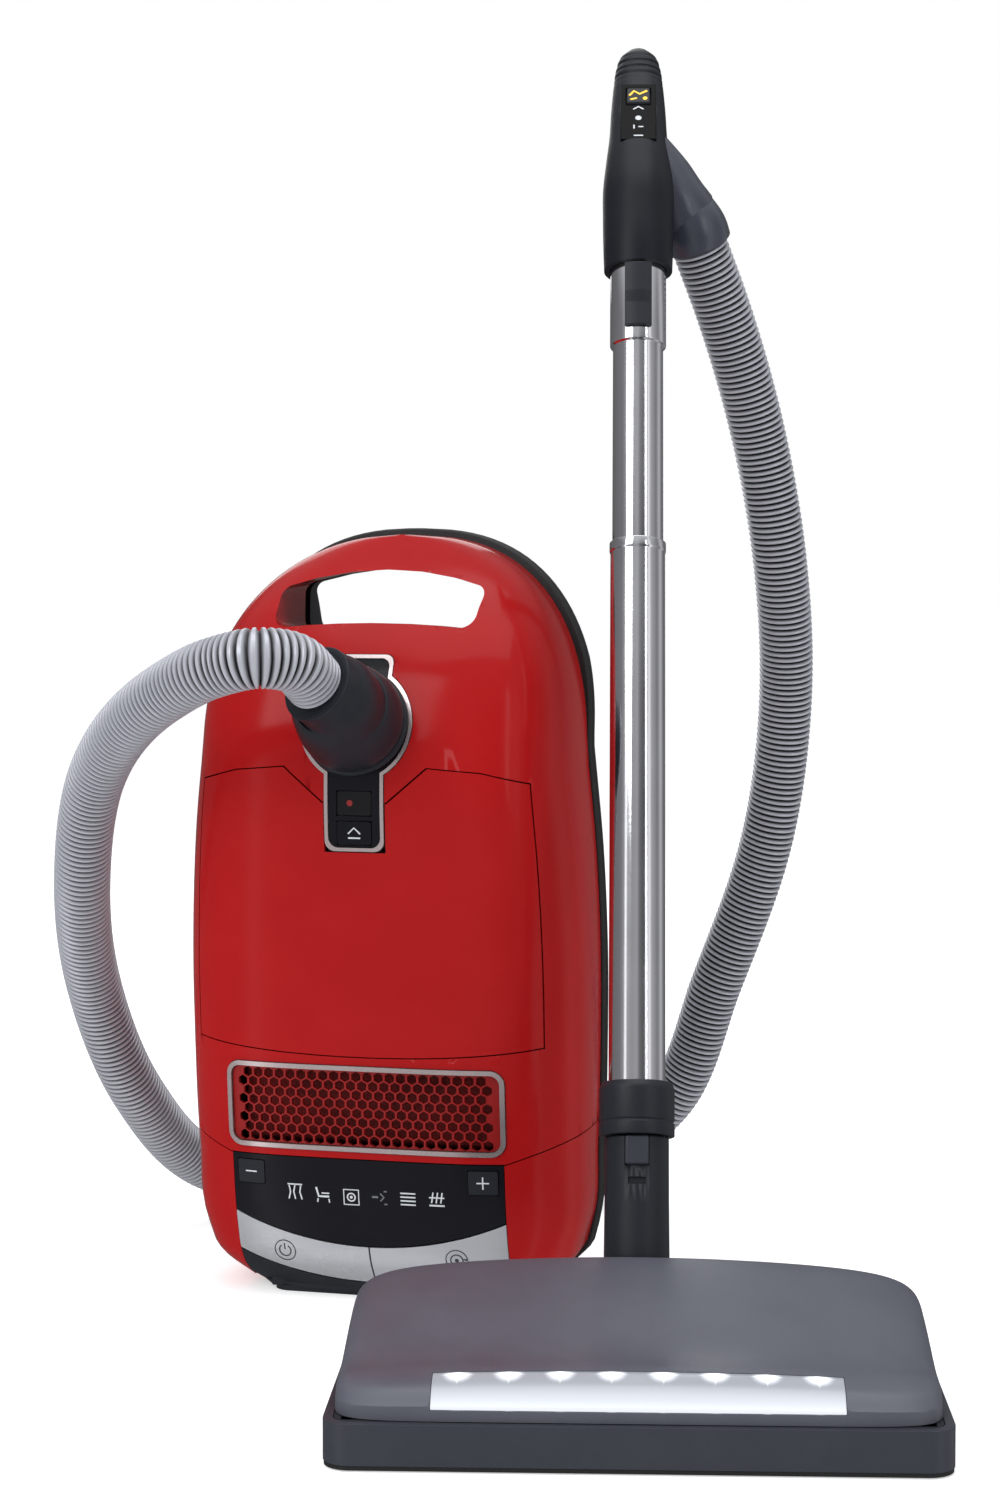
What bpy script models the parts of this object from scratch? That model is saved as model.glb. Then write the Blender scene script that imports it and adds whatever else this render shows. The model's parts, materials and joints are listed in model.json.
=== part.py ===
"""A canister vacuum cleaner, parked upright, with its power floor head, telescopic wand, handle and hose.

The canister stands on its rear end with its top face towards -Y, and the origin is under the middle of its
foot. The floor head stands before it, turned a little, and the wand leans back from the head's neck.
"""

import math

import bmesh
import bpy
import numpy as np
from mathutils import Matrix, Vector

OBJECT = "canister_vacuum"
FIT = 0.0004  # clearance between neighbouring pieces
WALL = 0.003  # moulded casing walls

# Casing from the front, where it meets the bumper: half-widths by height, then an arch above them.
CASE_BOTTOM = 0.006
CASE_TOP = 0.525
ARCH_Z = 0.375
ARCH_HALF_WIDTH = 0.1265
ARCH_RISE = CASE_TOP - ARCH_Z
ARCH_ANGLES = (12, 25, 38, 50, 61, 71, 79, 85)
ARCH_ROUNDNESS = 2.4
HALF_WIDTHS = (
    (CASE_BOTTOM, 0.103), (0.02, 0.121), (0.045, 0.1315), (0.10, 0.1350),
    (0.17, 0.1365), (0.23, 0.1365), (0.30, 0.1335), (ARCH_Z, ARCH_HALF_WIDTH),
)
# Casing from the side: where its front stands, by height.
FRONT_LINE = (
    (CASE_BOTTOM, -0.062), (0.03, -0.079), (0.05, -0.085), (0.11, -0.095), (0.20, -0.103), (0.30, -0.1105),
    (0.345, -0.1135), (0.375, -0.112), (0.40, -0.106), (0.44, -0.090), (0.47, -0.068), (0.49, -0.048),
    (CASE_TOP, -0.010),
)
ROUNDNESS = 4  # exponent of the casing's cross-section
FLARE = 0.03  # the casing is this much wider before the bumper
SPLIT_Y = 0.022  # where the upper casing meets the bumper
HANDLE_BEND, HANDLE_BEND_Z = -0.008, 0.42  # the carry handle's bend (back if negative), and its start
BUMPER_DEPTH = 0.0154
CHASSIS_Y = SPLIT_Y + BUMPER_DEPTH + 2 * FIT
HOLLOW_TOP = 0.44  # the carry handle above this height is solid
PANEL_DEPTH = 0.003

# Front of the casing, from the top down.
OPENING_HALF_WIDTH, OPENING_LOW, OPENING_HIGH = 0.070, 0.458, 0.4965
SOCKET_Z, SOCKET_TILT = 0.395, math.radians(20)
TRIM_RADIUS, TRIM_BAND = 0.0385, 0.0024
DUCT_BEND = 0.0415
PLATE_HALF_WIDTH, PLATE_TOP = 0.0215, 0.441
LATCH_HALF_WIDTH, LATCH_LOW = 0.0205, 0.311
LID_SHARE = 0.885  # the lid's half-width as a share of the casing's
LID_LOW, LID_LOW_RISE = 0.172, 0.008
GRILLE_HALF_WIDTH, GRILLE_LOW, GRILLE_HIGH = 0.0975, 0.1065, 0.1655
GRILLE_BAND = 0.0032
PANEL_HALF_WIDTH, PANEL_HIGH, PANEL_LOW, PANEL_LOW_RISE = 0.0955, 0.1008, 0.040, 0.0205
PEDAL_GAP = 0.001
PEDAL_LOW, PEDAL_LOW_RISE = 0.0175, 0.019
FOOT_HALF_WIDTH = 0.078

# Inside the casing.
MOTOR_X, MOTOR_Y, MOTOR_LOW, MOTOR_HIGH, MOTOR_RADIUS = -0.055, -0.008, 0.03, 0.15, 0.05
REEL_X, REEL_Z, REEL_RADIUS, REEL_HALF_WIDTH = 0.064, 0.085, 0.048, 0.026
CASTERS = ((0.0, 0.41), (-0.085, 0.062), (0.085, 0.062))
CASTER_Y, CASTER_TRAIL, CASTER_RADIUS, CASTER_DEPTH = 0.0744, 0.012, 0.0155, 0.0236

# Floor head, in its own frame: X across, -Y to the front, origin under the middle of its front edge.
HEAD_PLACE, HEAD_YAW = (0.2573, -0.4093, 0.0), math.radians(12.5)
HEAD_HALF_WIDTH, HEAD_DEPTH = 0.175, 0.192
COVER_HALF_WIDTH, COVER_LOW = 0.1705, 0.0272
COVER_PROFILE = (
    (0.006, COVER_LOW), (0.0075, 0.036), (0.018, 0.0455), (0.036, 0.0500), (0.055, 0.0515), (0.075, 0.0555),
    (0.105, 0.0640), (0.14, 0.0730), (0.170, 0.0790), (0.184, 0.0785), (0.191, 0.0700), (0.1935, COVER_LOW),
)
LED_HALF_WIDTH = 0.115
ROLLER_Y, ROLLER_Z, ROLLER_RADIUS = 0.047, 0.0215, 0.0175
BRUSH_MOTOR_Y, BRUSH_MOTOR_Z = 0.115, 0.036
BELT_X = 0.1535
HEAD_WHEEL_Y, HEAD_WHEEL_RADIUS = 0.215, 0.0176

# Wand, in its own frame: Z along it from the neck's pivot, -Y to the front.
PIVOT_Y, PIVOT_Z, WAND_LEAN = 0.212, 0.042, math.radians(17)
NECK_RADIUS, COLLAR_RADIUS = 0.0202, 0.0238
LOWER_RADIUS, LOWER_BORE = 0.0180, 0.0171
UPPER_RADIUS, UPPER_BORE = 0.0168, 0.0158
COLLAR_LOW, COLLAR_HIGH, LOWER_TOP = 0.104, 0.138, 0.494
SLEEVE_LOW, SLEEVE_HIGH, SLEEVE_RADIUS = 0.632, 0.690, 0.0188
# Handle sections: height, set-back of the middle, half-width, half-depth.
HANDLE_SECTIONS = (
    (0.6860, 0.000, 0.0230, 0.0230), (0.700, 0.000, 0.0235, 0.0240), (0.725, 0.003, 0.0240, 0.0255),
    (0.748, 0.006, 0.0240, 0.0255), (0.768, 0.010, 0.0222, 0.0228), (0.790, 0.016, 0.0200, 0.0195),
    (0.815, 0.025, 0.0188, 0.0175), (0.838, 0.034, 0.0172, 0.0160), (0.855, 0.042, 0.0155, 0.0150),
    (0.866, 0.047, 0.0125, 0.0125), (0.873, 0.051, 0.0070, 0.0075),
)

PORT_CENTRE, PORT_WAY = Vector((0, 0.010, 0.774)), Vector((0.60, 0.47, -0.648))  # the handle's port

HOSE_RADIUS = 0.0195
# The hose's way from the canister's elbow round behind the canister and up to the handle's elbow.
HOSE_ROUTE = (
    (-0.0053, -0.1762, 0.4249), (-0.0125, -0.2000, 0.4387), (-0.0307, -0.2153, 0.4416),
    (-0.0566, -0.2119, 0.4367), (-0.1010, -0.1906, 0.4192), (-0.1744, -0.1296, 0.3620),
    (-0.2093, -0.0768, 0.2810), (-0.2258, -0.0191, 0.2030), (-0.2186, 0.0450, 0.1140),
    (-0.1937, 0.1241, 0.0460), (-0.1069, 0.2095, 0.0242), (0.0026, 0.2492, 0.0242),
    (0.0796, 0.2594, 0.0450), (0.1380, 0.2440, 0.0890), (0.1801, 0.2243, 0.1850),
    (0.2222, 0.2045, 0.3000), (0.2396, 0.1781, 0.4130), (0.2401, 0.1472, 0.5015),
    (0.2276, 0.1127, 0.6020), (0.2107, 0.0772, 0.6780),
    (0.1980, 0.0531, 0.7220),
)

COLOURS = {  # colour in sRGB, metallic, roughness
    "red_gloss": ((0.66, 0.10, 0.11), 0.0, 0.18),
    "dark_plastic": ((0.16, 0.17, 0.19), 0.0, 0.42),
    "head_plastic": ((0.31, 0.32, 0.35), 0.0, 0.38),
    "black_gloss": ((0.06, 0.06, 0.07), 0.0, 0.12),
    "silver_plastic": ((0.70, 0.71, 0.73), 0.6, 0.32),
    "chrome": ((0.80, 0.80, 0.83), 1.0, 0.08),
    "hose_grey": ((0.62, 0.63, 0.66), 0.3, 0.40),
    "rubber": ((0.07, 0.07, 0.08), 0.0, 0.75),
    "filter_white": ((0.88, 0.88, 0.86), 0.0, 0.95),
    "bag_cloth": ((0.85, 0.83, 0.78), 0.0, 0.95),
    "lens": ((0.92, 0.95, 1.0), 0.0, 0.06),
    "board_green": ((0.08, 0.30, 0.17), 0.0, 0.5),
    "bristle": ((0.12, 0.12, 0.13), 0.0, 0.8),
    "steel": ((0.55, 0.56, 0.58), 1.0, 0.3),
}

parts = bpy.data.collections.new(OBJECT)
cutters = bpy.data.collections.new("cutters")


def clear_scene():
    for old in list(bpy.data.objects):
        bpy.data.objects.remove(old)
    for collection in (parts, cutters):
        bpy.context.scene.collection.children.link(collection)


def make_materials():
    for name, (colour, metallic, roughness) in COLOURS.items():
        made = bpy.data.materials.new(name)
        made.use_nodes = True
        shader = made.node_tree.nodes["Principled BSDF"]
        linear = [((c + 0.055) / 1.055) ** 2.4 for c in colour]
        shader.inputs["Base Color"].default_value = (*linear, 1)
        shader.inputs["Metallic"].default_value = metallic
        shader.inputs["Roughness"].default_value = roughness
        made.diffuse_color = (*linear, 1)


# Curves and outlines


def smooth_through(points):
    """A function with a smooth cubic between each two of the points."""
    xs, ys = np.array(points).T
    slopes = np.gradient(ys, xs)

    def value(x):
        i = int(np.clip(np.searchsorted(xs, x) - 1, 0, len(xs) - 2))
        step = xs[i + 1] - xs[i]
        t = min(max((x - xs[i]) / step, 0.0), 1.0)
        low = ys[i] * (1 + 2 * t) + step * slopes[i] * t
        high = ys[i + 1] * (3 - 2 * t) + step * slopes[i + 1] * (t - 1)
        return float(low * (1 - t) ** 2 + high * t * t)

    return value


def smooth_route(route, spacing):
    """Points this far apart along a smooth curve through the route's points."""
    route = np.array(route)
    gaps = np.linalg.norm(np.diff(route, axis=0), axis=1)
    along = np.concatenate([[0], np.cumsum(gaps)])
    ways = [smooth_through(list(zip(along, route[:, k]))) for k in range(3)]
    fine = np.array([[way(s) for way in ways] for s in np.linspace(0, along[-1], 40 * len(route))])
    length = np.concatenate([[0], np.cumsum(np.linalg.norm(np.diff(fine, axis=0), axis=1))])
    even = np.linspace(0, length[-1], round(length[-1] / spacing) + 1)
    return [tuple(np.interp(s, length, fine[:, k]) for k in range(3)) for s in even]


case_side = smooth_through(HALF_WIDTHS)
front_line = smooth_through(FRONT_LINE)


def half_width(z, grow=0.0):
    if z <= ARCH_Z:
        return case_side(z) + grow
    rise = min((z - ARCH_Z) / (ARCH_RISE + grow), 1.0)
    return (ARCH_HALF_WIDTH + grow) * (1 - rise**ARCH_ROUNDNESS) ** (1 / ARCH_ROUNDNESS)


def bend(z):
    """How far the carry handle leans to the front at this height."""
    return -HANDLE_BEND * max(0.0, (z - HANDLE_BEND_Z) / (CASE_TOP - HANDLE_BEND_Z)) ** 2


def case_front(x, z):
    """Where the casing's front stands at this place."""
    across = min(abs(x) / max((1 + FLARE) * half_width(z), 1e-6), 0.995)
    bulge = (1 - across**ROUNDNESS) ** (1 / ROUNDNESS)
    return SPLIT_Y + bend(z) - (SPLIT_Y - front_line(z)) * bulge


def case_heights(low, high, grow=0.0):
    """The heights of the casing's sections between two heights."""
    sides = [0.012, 0.02, 0.03, 0.045, 0.07, 0.11, 0.16, 0.22, 0.28, 0.33, ARCH_Z]
    arch = [ARCH_Z + (ARCH_RISE + grow) * math.sin(math.radians(a)) for a in ARCH_ANGLES]
    return [low] + [z for z in sides + arch if low + 0.001 < z < high - 0.001] + [high]


def silhouette(grow, high=1.0):
    """The casing's outline from the front, grown by this much and cut off at this height."""
    share = (ARCH_Z - CASE_BOTTOM + grow) / (ARCH_Z - CASE_BOTTOM)
    rise = ARCH_RISE + grow
    heights = [ARCH_Z - share * (ARCH_Z - z) for z in case_heights(CASE_BOTTOM, ARCH_Z)]
    heights += [ARCH_Z + rise * math.sin(math.radians(a)) for a in ARCH_ANGLES]
    top = min(high, ARCH_Z + rise * 0.9985)
    heights = [z for z in heights if z < top - 0.001] + [top]
    right = [(half_width(z, grow), z) for z in heights]
    return right + [(-x, z) for x, z in reversed(right)]


def rounded(corners, radius, steps=3):
    """The outline through the corners, each turned into an arc."""
    loop = []
    for i, corner in enumerate(corners):
        corner = Vector(corner)
        back = Vector(corners[i - 1]) - corner
        ahead = Vector(corners[(i + 1) % len(corners)]) - corner
        half = back.angle(ahead) / 2
        reach = min(radius / math.tan(half), 0.49 * back.length, 0.49 * ahead.length)
        arc = reach * math.tan(half)
        middle = corner + (back.normalized() + ahead.normalized()).normalized() * arc / math.sin(half)
        first = corner + back.normalized() * reach - middle
        last = corner + ahead.normalized() * reach - middle
        sweep = math.atan2(first.x * last.y - first.y * last.x, first.dot(last))
        for k in range(steps + 1):
            turned = first.copy()
            turned.rotate(Matrix.Rotation(sweep * k / steps, 2))
            loop.append(tuple(middle + turned))
    return loop


def circle(x, y, radius, steps=24, start=0.0):
    turns = [start + 2 * math.pi * k / steps for k in range(steps)]
    return [(x + radius * math.cos(a), y + radius * math.sin(a)) for a in turns]


def rectangle(x0, y0, x1, y1):
    return [(x0, y0), (x1, y0), (x1, y1), (x0, y1)]


def bowed(half, low, rise, steps=8):
    """Points of a shallow arc from left to right, low in the middle."""
    xs = [half * (2 * k / steps - 1) for k in range(steps + 1)]
    return [(x, low + rise * (x / half) ** 2) for x in xs]


# Making solids


def add_object(name, mesh, material, collection=parts):
    obj = bpy.data.objects.new(name, mesh)
    collection.objects.link(obj)
    if collection is cutters:
        obj.hide_render = True
        obj.display_type = "WIRE"
    else:
        mesh.materials.append(bpy.data.materials[material])
    return obj


def finish_mesh(bm, name, material, collection=parts, round_piece=False):
    bmesh.ops.recalc_face_normals(bm, faces=bm.faces)
    mesh = bpy.data.meshes.new(name)
    bm.to_mesh(mesh)
    bm.free()
    if round_piece:
        mesh.shade_smooth()
        mesh.set_sharp_from_angle(angle=math.radians(35))
    return add_object(name, mesh, material, collection)


def box_mesh(low, high):
    bm = bmesh.new()
    bmesh.ops.create_cube(bm, size=1)
    middle = (Vector(low) + Vector(high)) / 2
    bmesh.ops.scale(bm, vec=Vector(high) - Vector(low), verts=bm.verts)
    bmesh.ops.translate(bm, vec=middle, verts=bm.verts)
    return bm


def box(name, low, high, material, edge=0.0):
    obj = finish_mesh(box_mesh(low, high), name, material)
    if edge:
        bevel = obj.modifiers.new("edges", "BEVEL")
        bevel.width = edge
        bevel.segments = 1
    return obj


def box_cutter(name, low, high):
    return finish_mesh(box_mesh(low, high), name, None, cutters)


def rod_mesh(start, end, radius, sides=16):
    """A cylinder between two points, in a bmesh."""
    way = Vector(end) - Vector(start)
    bm = bmesh.new()
    bmesh.ops.create_cone(
        bm, cap_ends=True, segments=sides, radius1=radius, radius2=radius, depth=way.length
    )
    turn = Vector((0, 0, 1)).rotation_difference(way).to_matrix().to_4x4()
    middle = (Vector(start) + Vector(end)) / 2
    bmesh.ops.transform(bm, matrix=Matrix.Translation(middle) @ turn, verts=bm.verts)
    return bm


def rod(name, start, end, radius, material, sides=16):
    return finish_mesh(rod_mesh(start, end, radius, sides), name, material, parts, True)


def rod_cutter(name, start, end, radius, sides=24):
    return finish_mesh(rod_mesh(start, end, radius, sides), name, None, cutters)


def outline_mesh(loops, thickness):
    """A bmesh of flat outlines, the inner ones holes, lying in XY and centred on it in thickness."""
    curve = bpy.data.curves.new("outline", "CURVE")
    curve.dimensions = "2D"
    curve.fill_mode = "BOTH"
    curve.extrude = thickness / 2
    for loop in loops:
        spline = curve.splines.new("POLY")
        spline.points.add(len(loop) - 1)
        for point, (x, y) in zip(spline.points, loop):
            point.co = (x, y, 0, 1)
        spline.use_cyclic_u = True
    guide = bpy.data.objects.new("outline", curve)
    cutters.objects.link(guide)
    bpy.context.view_layer.update()
    mesh = bpy.data.meshes.new_from_object(guide.evaluated_get(bpy.context.evaluated_depsgraph_get()))
    bpy.data.objects.remove(guide)
    bm = bmesh.new()
    bm.from_mesh(mesh)
    bpy.data.meshes.remove(mesh)
    bmesh.ops.remove_doubles(bm, verts=bm.verts, dist=1e-6)
    return bm


def upright(bm, near, far):
    """Turns a flat outline's XY to face the front, between two places along Y."""
    turn = Matrix(((1, 0, 0, 0), (0, 0, -1, (near + far) / 2), (0, 1, 0, 0), (0, 0, 0, 1)))
    bmesh.ops.transform(bm, matrix=turn, verts=bm.verts)
    return bm


def front_cutter(name, loops, near=-0.2, far=-0.02):
    return finish_mesh(upright(outline_mesh(loops, far - near), near, far), name, None, cutters)


def slab(name, loops, low, high, material, collection=parts):
    """A flat outline lying level between two heights."""
    bm = outline_mesh(loops, high - low)
    bmesh.ops.translate(bm, vec=(0, 0, (low + high) / 2), verts=bm.verts)
    return finish_mesh(bm, name, material, collection)


def front_panel(name, loops, material, proud=0.0, depth=PANEL_DEPTH, spacing=0.025):
    """A plate with this outline that follows the casing's front."""
    bm = upright(outline_mesh(loops, depth + proud), -proud, depth)
    for axis in (0, 2):
        places = [v.co[axis] for v in bm.verts]
        for k in range(math.ceil(min(places) / spacing), math.floor(max(places) / spacing) + 1):
            point, normal = Vector(), Vector()
            point[axis], normal[axis] = k * spacing + 1e-5, 1.0
            every = bm.verts[:] + bm.edges[:] + bm.faces[:]
            bmesh.ops.bisect_plane(bm, geom=every, plane_co=point, plane_no=normal, dist=1e-6)
    for v in bm.verts:
        v.co.y += case_front(v.co.x, v.co.z)
    bmesh.ops.triangulate(bm, faces=[f for f in bm.faces if len(f.verts) > 4])
    return finish_mesh(bm, name, material)


def loft(name, rings, material, collection=parts, round_piece=True, level=False):
    """A closed solid over rings that have the same number of points.

    The ends of a level one are rows between points that mirror each other.
    """
    bm = bmesh.new()
    rows = [[bm.verts.new(p) for p in ring] for ring in rings]
    for lower, upper in zip(rows, rows[1:]):
        for i in range(len(lower)):
            j = (i + 1) % len(lower)
            bm.faces.new((lower[i], lower[j], upper[j], upper[i]))
    for row in (rows[0], rows[-1]):
        if level:
            for i in range(len(row) // 2 - 1):
                bm.faces.new((row[i], row[i + 1], row[-2 - i], row[-1 - i]))
        else:
            bm.faces.new(row)
    return finish_mesh(bm, name, material, collection, round_piece)


def turned(name, profile, material, steps=24, closed=False, collection=parts):
    """A solid of revolution about Z. The profile's outer side runs from the top down."""
    bm = bmesh.new()
    verts = [bm.verts.new((radius, 0, z)) for radius, z in profile]
    for a, b in zip(verts, verts[1:] + verts[:1] if closed else verts[1:]):
        bm.edges.new((a, b))
    mesh = bpy.data.meshes.new(name)
    bm.to_mesh(mesh)
    bm.free()
    obj = add_object(name, mesh, material, collection)
    screw = obj.modifiers.new("turn", "SCREW")
    screw.steps = screw.render_steps = steps
    screw.use_merge_vertices = True
    screw.merge_threshold = 1e-6
    return obj


def ring_profile(outer, inner, low, high):
    return [(outer, high), (outer, low), (inner, low), (inner, high)]


def bent_tube(name, route, radii, material, sides=16, collection=parts):
    """A solid swept along a route, with a radius at each of its points."""
    rings = []
    route = [Vector(p) for p in route]
    side = Vector((1, 0, 0))
    for i, (point, radius) in enumerate(zip(route, radii)):
        way = (route[min(i + 1, len(route) - 1)] - route[max(i - 1, 0)]).normalized()
        side = (side - side.dot(way) * way).normalized()
        other = way.cross(side)
        turns = [2 * math.pi * k / sides for k in range(sides)]
        rings.append([point + radius * (math.cos(a) * side + math.sin(a) * other) for a in turns])
    return loft(name, rings, material, collection)


def cut(obj, *tools, operation="DIFFERENCE"):
    for tool in tools:
        boolean = obj.modifiers.new(tool.name, "BOOLEAN")
        boolean.object = tool
        boolean.operation = operation
        boolean.solver = "EXACT"


def join(obj, *tools):
    cut(obj, *tools, operation="UNION")


def put(obj, place=(0, 0, 0), turn=(0, 0, 0), parent=None):
    obj.parent = parent
    obj.location = place
    obj.rotation_euler = turn
    return obj


def hang_on(obj, point):
    """Moves the object's origin to its joint, leaving its shape where it is."""
    obj.data.transform(Matrix.Translation(-Vector(point)))
    obj.location = point


def empty(name, place, turn=(0, 0, 0), parent=None):
    obj = bpy.data.objects.new(name, None)
    parts.objects.link(obj)
    return put(obj, place, turn, parent)


# Canister casing


def case_solid(name, inset, low, high, back, material, collection):
    """The casing's form, smaller by the inset and reaching back this far behind the split."""
    rings = []
    for z in case_heights(low, high, -inset):
        width = half_width(z, -inset)
        depth = SPLIT_Y - front_line(z) - inset
        ring = []
        for k in range(19):
            a = math.pi * k / 18
            reach = (abs(math.cos(a)) ** ROUNDNESS + abs(math.sin(a)) ** ROUNDNESS) ** (-1 / ROUNDNESS)
            wide = width * (1 + FLARE * min(1.0, 2 * math.sin(a)))
            ring.append((wide * reach * math.cos(a), SPLIT_Y + bend(z) - depth * reach * math.sin(a), z))
        if back:
            ring += [(-width, SPLIT_Y + back, z), (width, SPLIT_Y + back, z)]
        rings.append(ring)
    return loft(name, rings, material, collection)


def handle_opening(grow=0.0):
    half = OPENING_HALF_WIDTH + grow
    shares = (-1, -0.5, 0, 0.5, 1)
    top = [(half * s, OPENING_HIGH + 0.3 * grow - 0.012 * s**2) for s in shares]
    low = [(-half * s, OPENING_LOW - 0.5 * grow + 0.004 * (1 - s**2)) for s in shares]
    return rounded(top + low, 0.009)


def opening_cutter():
    """The carry opening, which widens towards the back."""
    rings = []
    for y, grow in ((-0.2, 0.0), (-0.085, 0.0), (-0.06, 0.001), (0.045, 0.012), (0.2, 0.012)):
        rings.append([(x, y, z) for x, z in handle_opening(grow)])
    return loft("carry_opening", rings, None, cutters)


def lid_outline(grow=0.0):
    """The dust lid's outline. It is notched around the latch frame."""
    half = LID_SHARE * half_width(0.2) + grow
    low = bowed(half, LID_LOW - grow, LID_LOW_RISE)
    right = [(LID_SHARE * half_width(z) + grow, z) for z in (0.22, 0.28, 0.32)]
    right += [(LID_SHARE * half_width(0.356) + grow, 0.356 + grow), (0.085, 0.3635 + grow)]
    right += [(0.050 - grow, 0.3665 + grow), (0.0225 - grow, 0.343 + grow)]
    if grow:
        return low + right + [(-x, z) for x, z in reversed(right)]
    notch = LATCH_HALF_WIDTH + 2 * FIT
    right += [(notch, 0.343), (notch, LATCH_LOW - 2 * FIT)]
    return low + right + [(-x, z) for x, z in reversed(right)]


def socket_outline(inset):
    """The outline of the hose socket's surround: a plate above, a circle, and the latch frame below."""
    radius = TRIM_RADIUS - inset
    above, below = PLATE_HALF_WIDTH - inset, LATCH_HALF_WIDTH - inset
    start, end = math.acos(above / radius), -math.acos(below / radius)
    arc = [start + (end - start) * k / 10 for k in range(11)]
    side = rounded([(0.0, PLATE_TOP - inset), (above, PLATE_TOP - inset), (above, SOCKET_Z)], 0.006)[4:8]
    side += [(radius * math.cos(a), SOCKET_Z + radius * math.sin(a)) for a in arc]
    side += rounded([(below, SOCKET_Z), (below, LATCH_LOW + inset), (0, LATCH_LOW + inset)], 0.007)[4:8]
    return side + [(-x, z) for x, z in reversed(side)]


def grille_outline(inset):
    x, low, high = GRILLE_HALF_WIDTH - inset, GRILLE_LOW + inset, GRILLE_HIGH - inset
    return rounded(rectangle(-x, low, x, high), 0.010 - inset)


def panel_outline(grow=0.0):
    half = PANEL_HALF_WIDTH + grow
    low = bowed(half, PANEL_LOW - grow, PANEL_LOW_RISE)
    return low + [(half, PANEL_HIGH + grow), (-half, PANEL_HIGH + grow)]


def end_window():
    half, top = PANEL_HALF_WIDTH + FIT, PANEL_HIGH + FIT
    return [(-half, -0.02), (half, -0.02), (half, top), (-half, top)]


def end_seam(grow):
    """The region below the seam that rises from the control panel's upper corners."""
    inner, outer, level = PANEL_HALF_WIDTH + 0.0015, 0.2, PANEL_HIGH + 0.0003 + grow
    rise = 0.35 * (outer - inner)
    floor = [(-outer, -0.05), (outer, -0.05)]
    return floor + [(outer, level + rise), (inner, level), (-inner, level), (-outer, level + rise)]


def make_casing():
    hollow = case_solid("casing_hollow", WALL, CASE_BOTTOM + WALL, HOLLOW_TOP, 0.01, None, cutters)
    opening = opening_cutter()
    lid_window = front_cutter("lid_window", [lid_outline(FIT)])
    socket_window = front_cutter("socket_window", [socket_outline(-FIT)])
    grille_window = front_cutter("grille_window", [grille_outline(-FIT)])
    end_cutter = front_cutter("end_window", [end_window()])
    below = front_cutter("below_end_seam", [end_seam(FIT)], -0.2, 0.2)
    above = front_cutter(
        "above_end_seam", [end_seam(-FIT)[2:] + [(-0.2, 0.6), (0.2, 0.6)]], -0.2, 0.2
    )
    upper = case_solid("upper_shell", 0, CASE_BOTTOM, ARCH_Z + ARCH_RISE * 0.9985, 0, "red_gloss", parts)
    cut(upper, hollow, opening, lid_window, socket_window, grille_window, below)
    rear = case_solid("rear_cap", 0, CASE_BOTTOM, ARCH_Z, 0, "red_gloss", parts)
    cut(rear, hollow, end_cutter, above)
    front_panel("dust_lid", [lid_outline()], "red_gloss")
    hang_on(bpy.data.objects["dust_lid"], (0, case_front(0, LID_LOW) - 0.0005, LID_LOW))
    return opening


def chassis_ring(y, grow, high=CASE_TOP):
    """The chassis's outline this far behind its front. It is shallower at the carry handle."""
    ring = []
    for x, z in silhouette(grow, high):
        share = 1 - 0.6 * min(1.0, max(0.0, (z - HOLLOW_TOP - 0.004) / 0.05))
        ring.append((x, CHASSIS_Y + bend(z) + y * share, z))
    return ring


def make_bumper(opening):
    strip = upright(outline_mesh([silhouette(0.002), silhouette(-0.004)], BUMPER_DEPTH), 0, BUMPER_DEPTH)
    for v in strip.verts:
        v.co.y += SPLIT_Y + FIT + bend(v.co.z)
    finish_mesh(strip, "bumper_strip", "rubber")
    steps = ((0, -0.0005), (0.014, -0.003), (0.026, -0.008), (0.033, -0.015), (0.036, -0.024))
    chassis = loft("chassis", [chassis_ring(y, grow) for y, grow in steps], "dark_plastic", level=True)
    steps = ((-0.001, -0.0035), (0.014, -0.006), (0.026, -0.011), (0.033, -0.020))
    rings = [[(x, CHASSIS_Y + y, z) for x, z in silhouette(grow, HOLLOW_TOP)] for y, grow in steps]
    tub = loft("chassis_hollow", rings, None, cutters)
    gland = rod_cutter("gland_hole", (-0.15, 0.056, 0.07), (-0.10, 0.056, 0.07), 0.0067)
    cut(chassis, tub, opening, gland)


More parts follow.
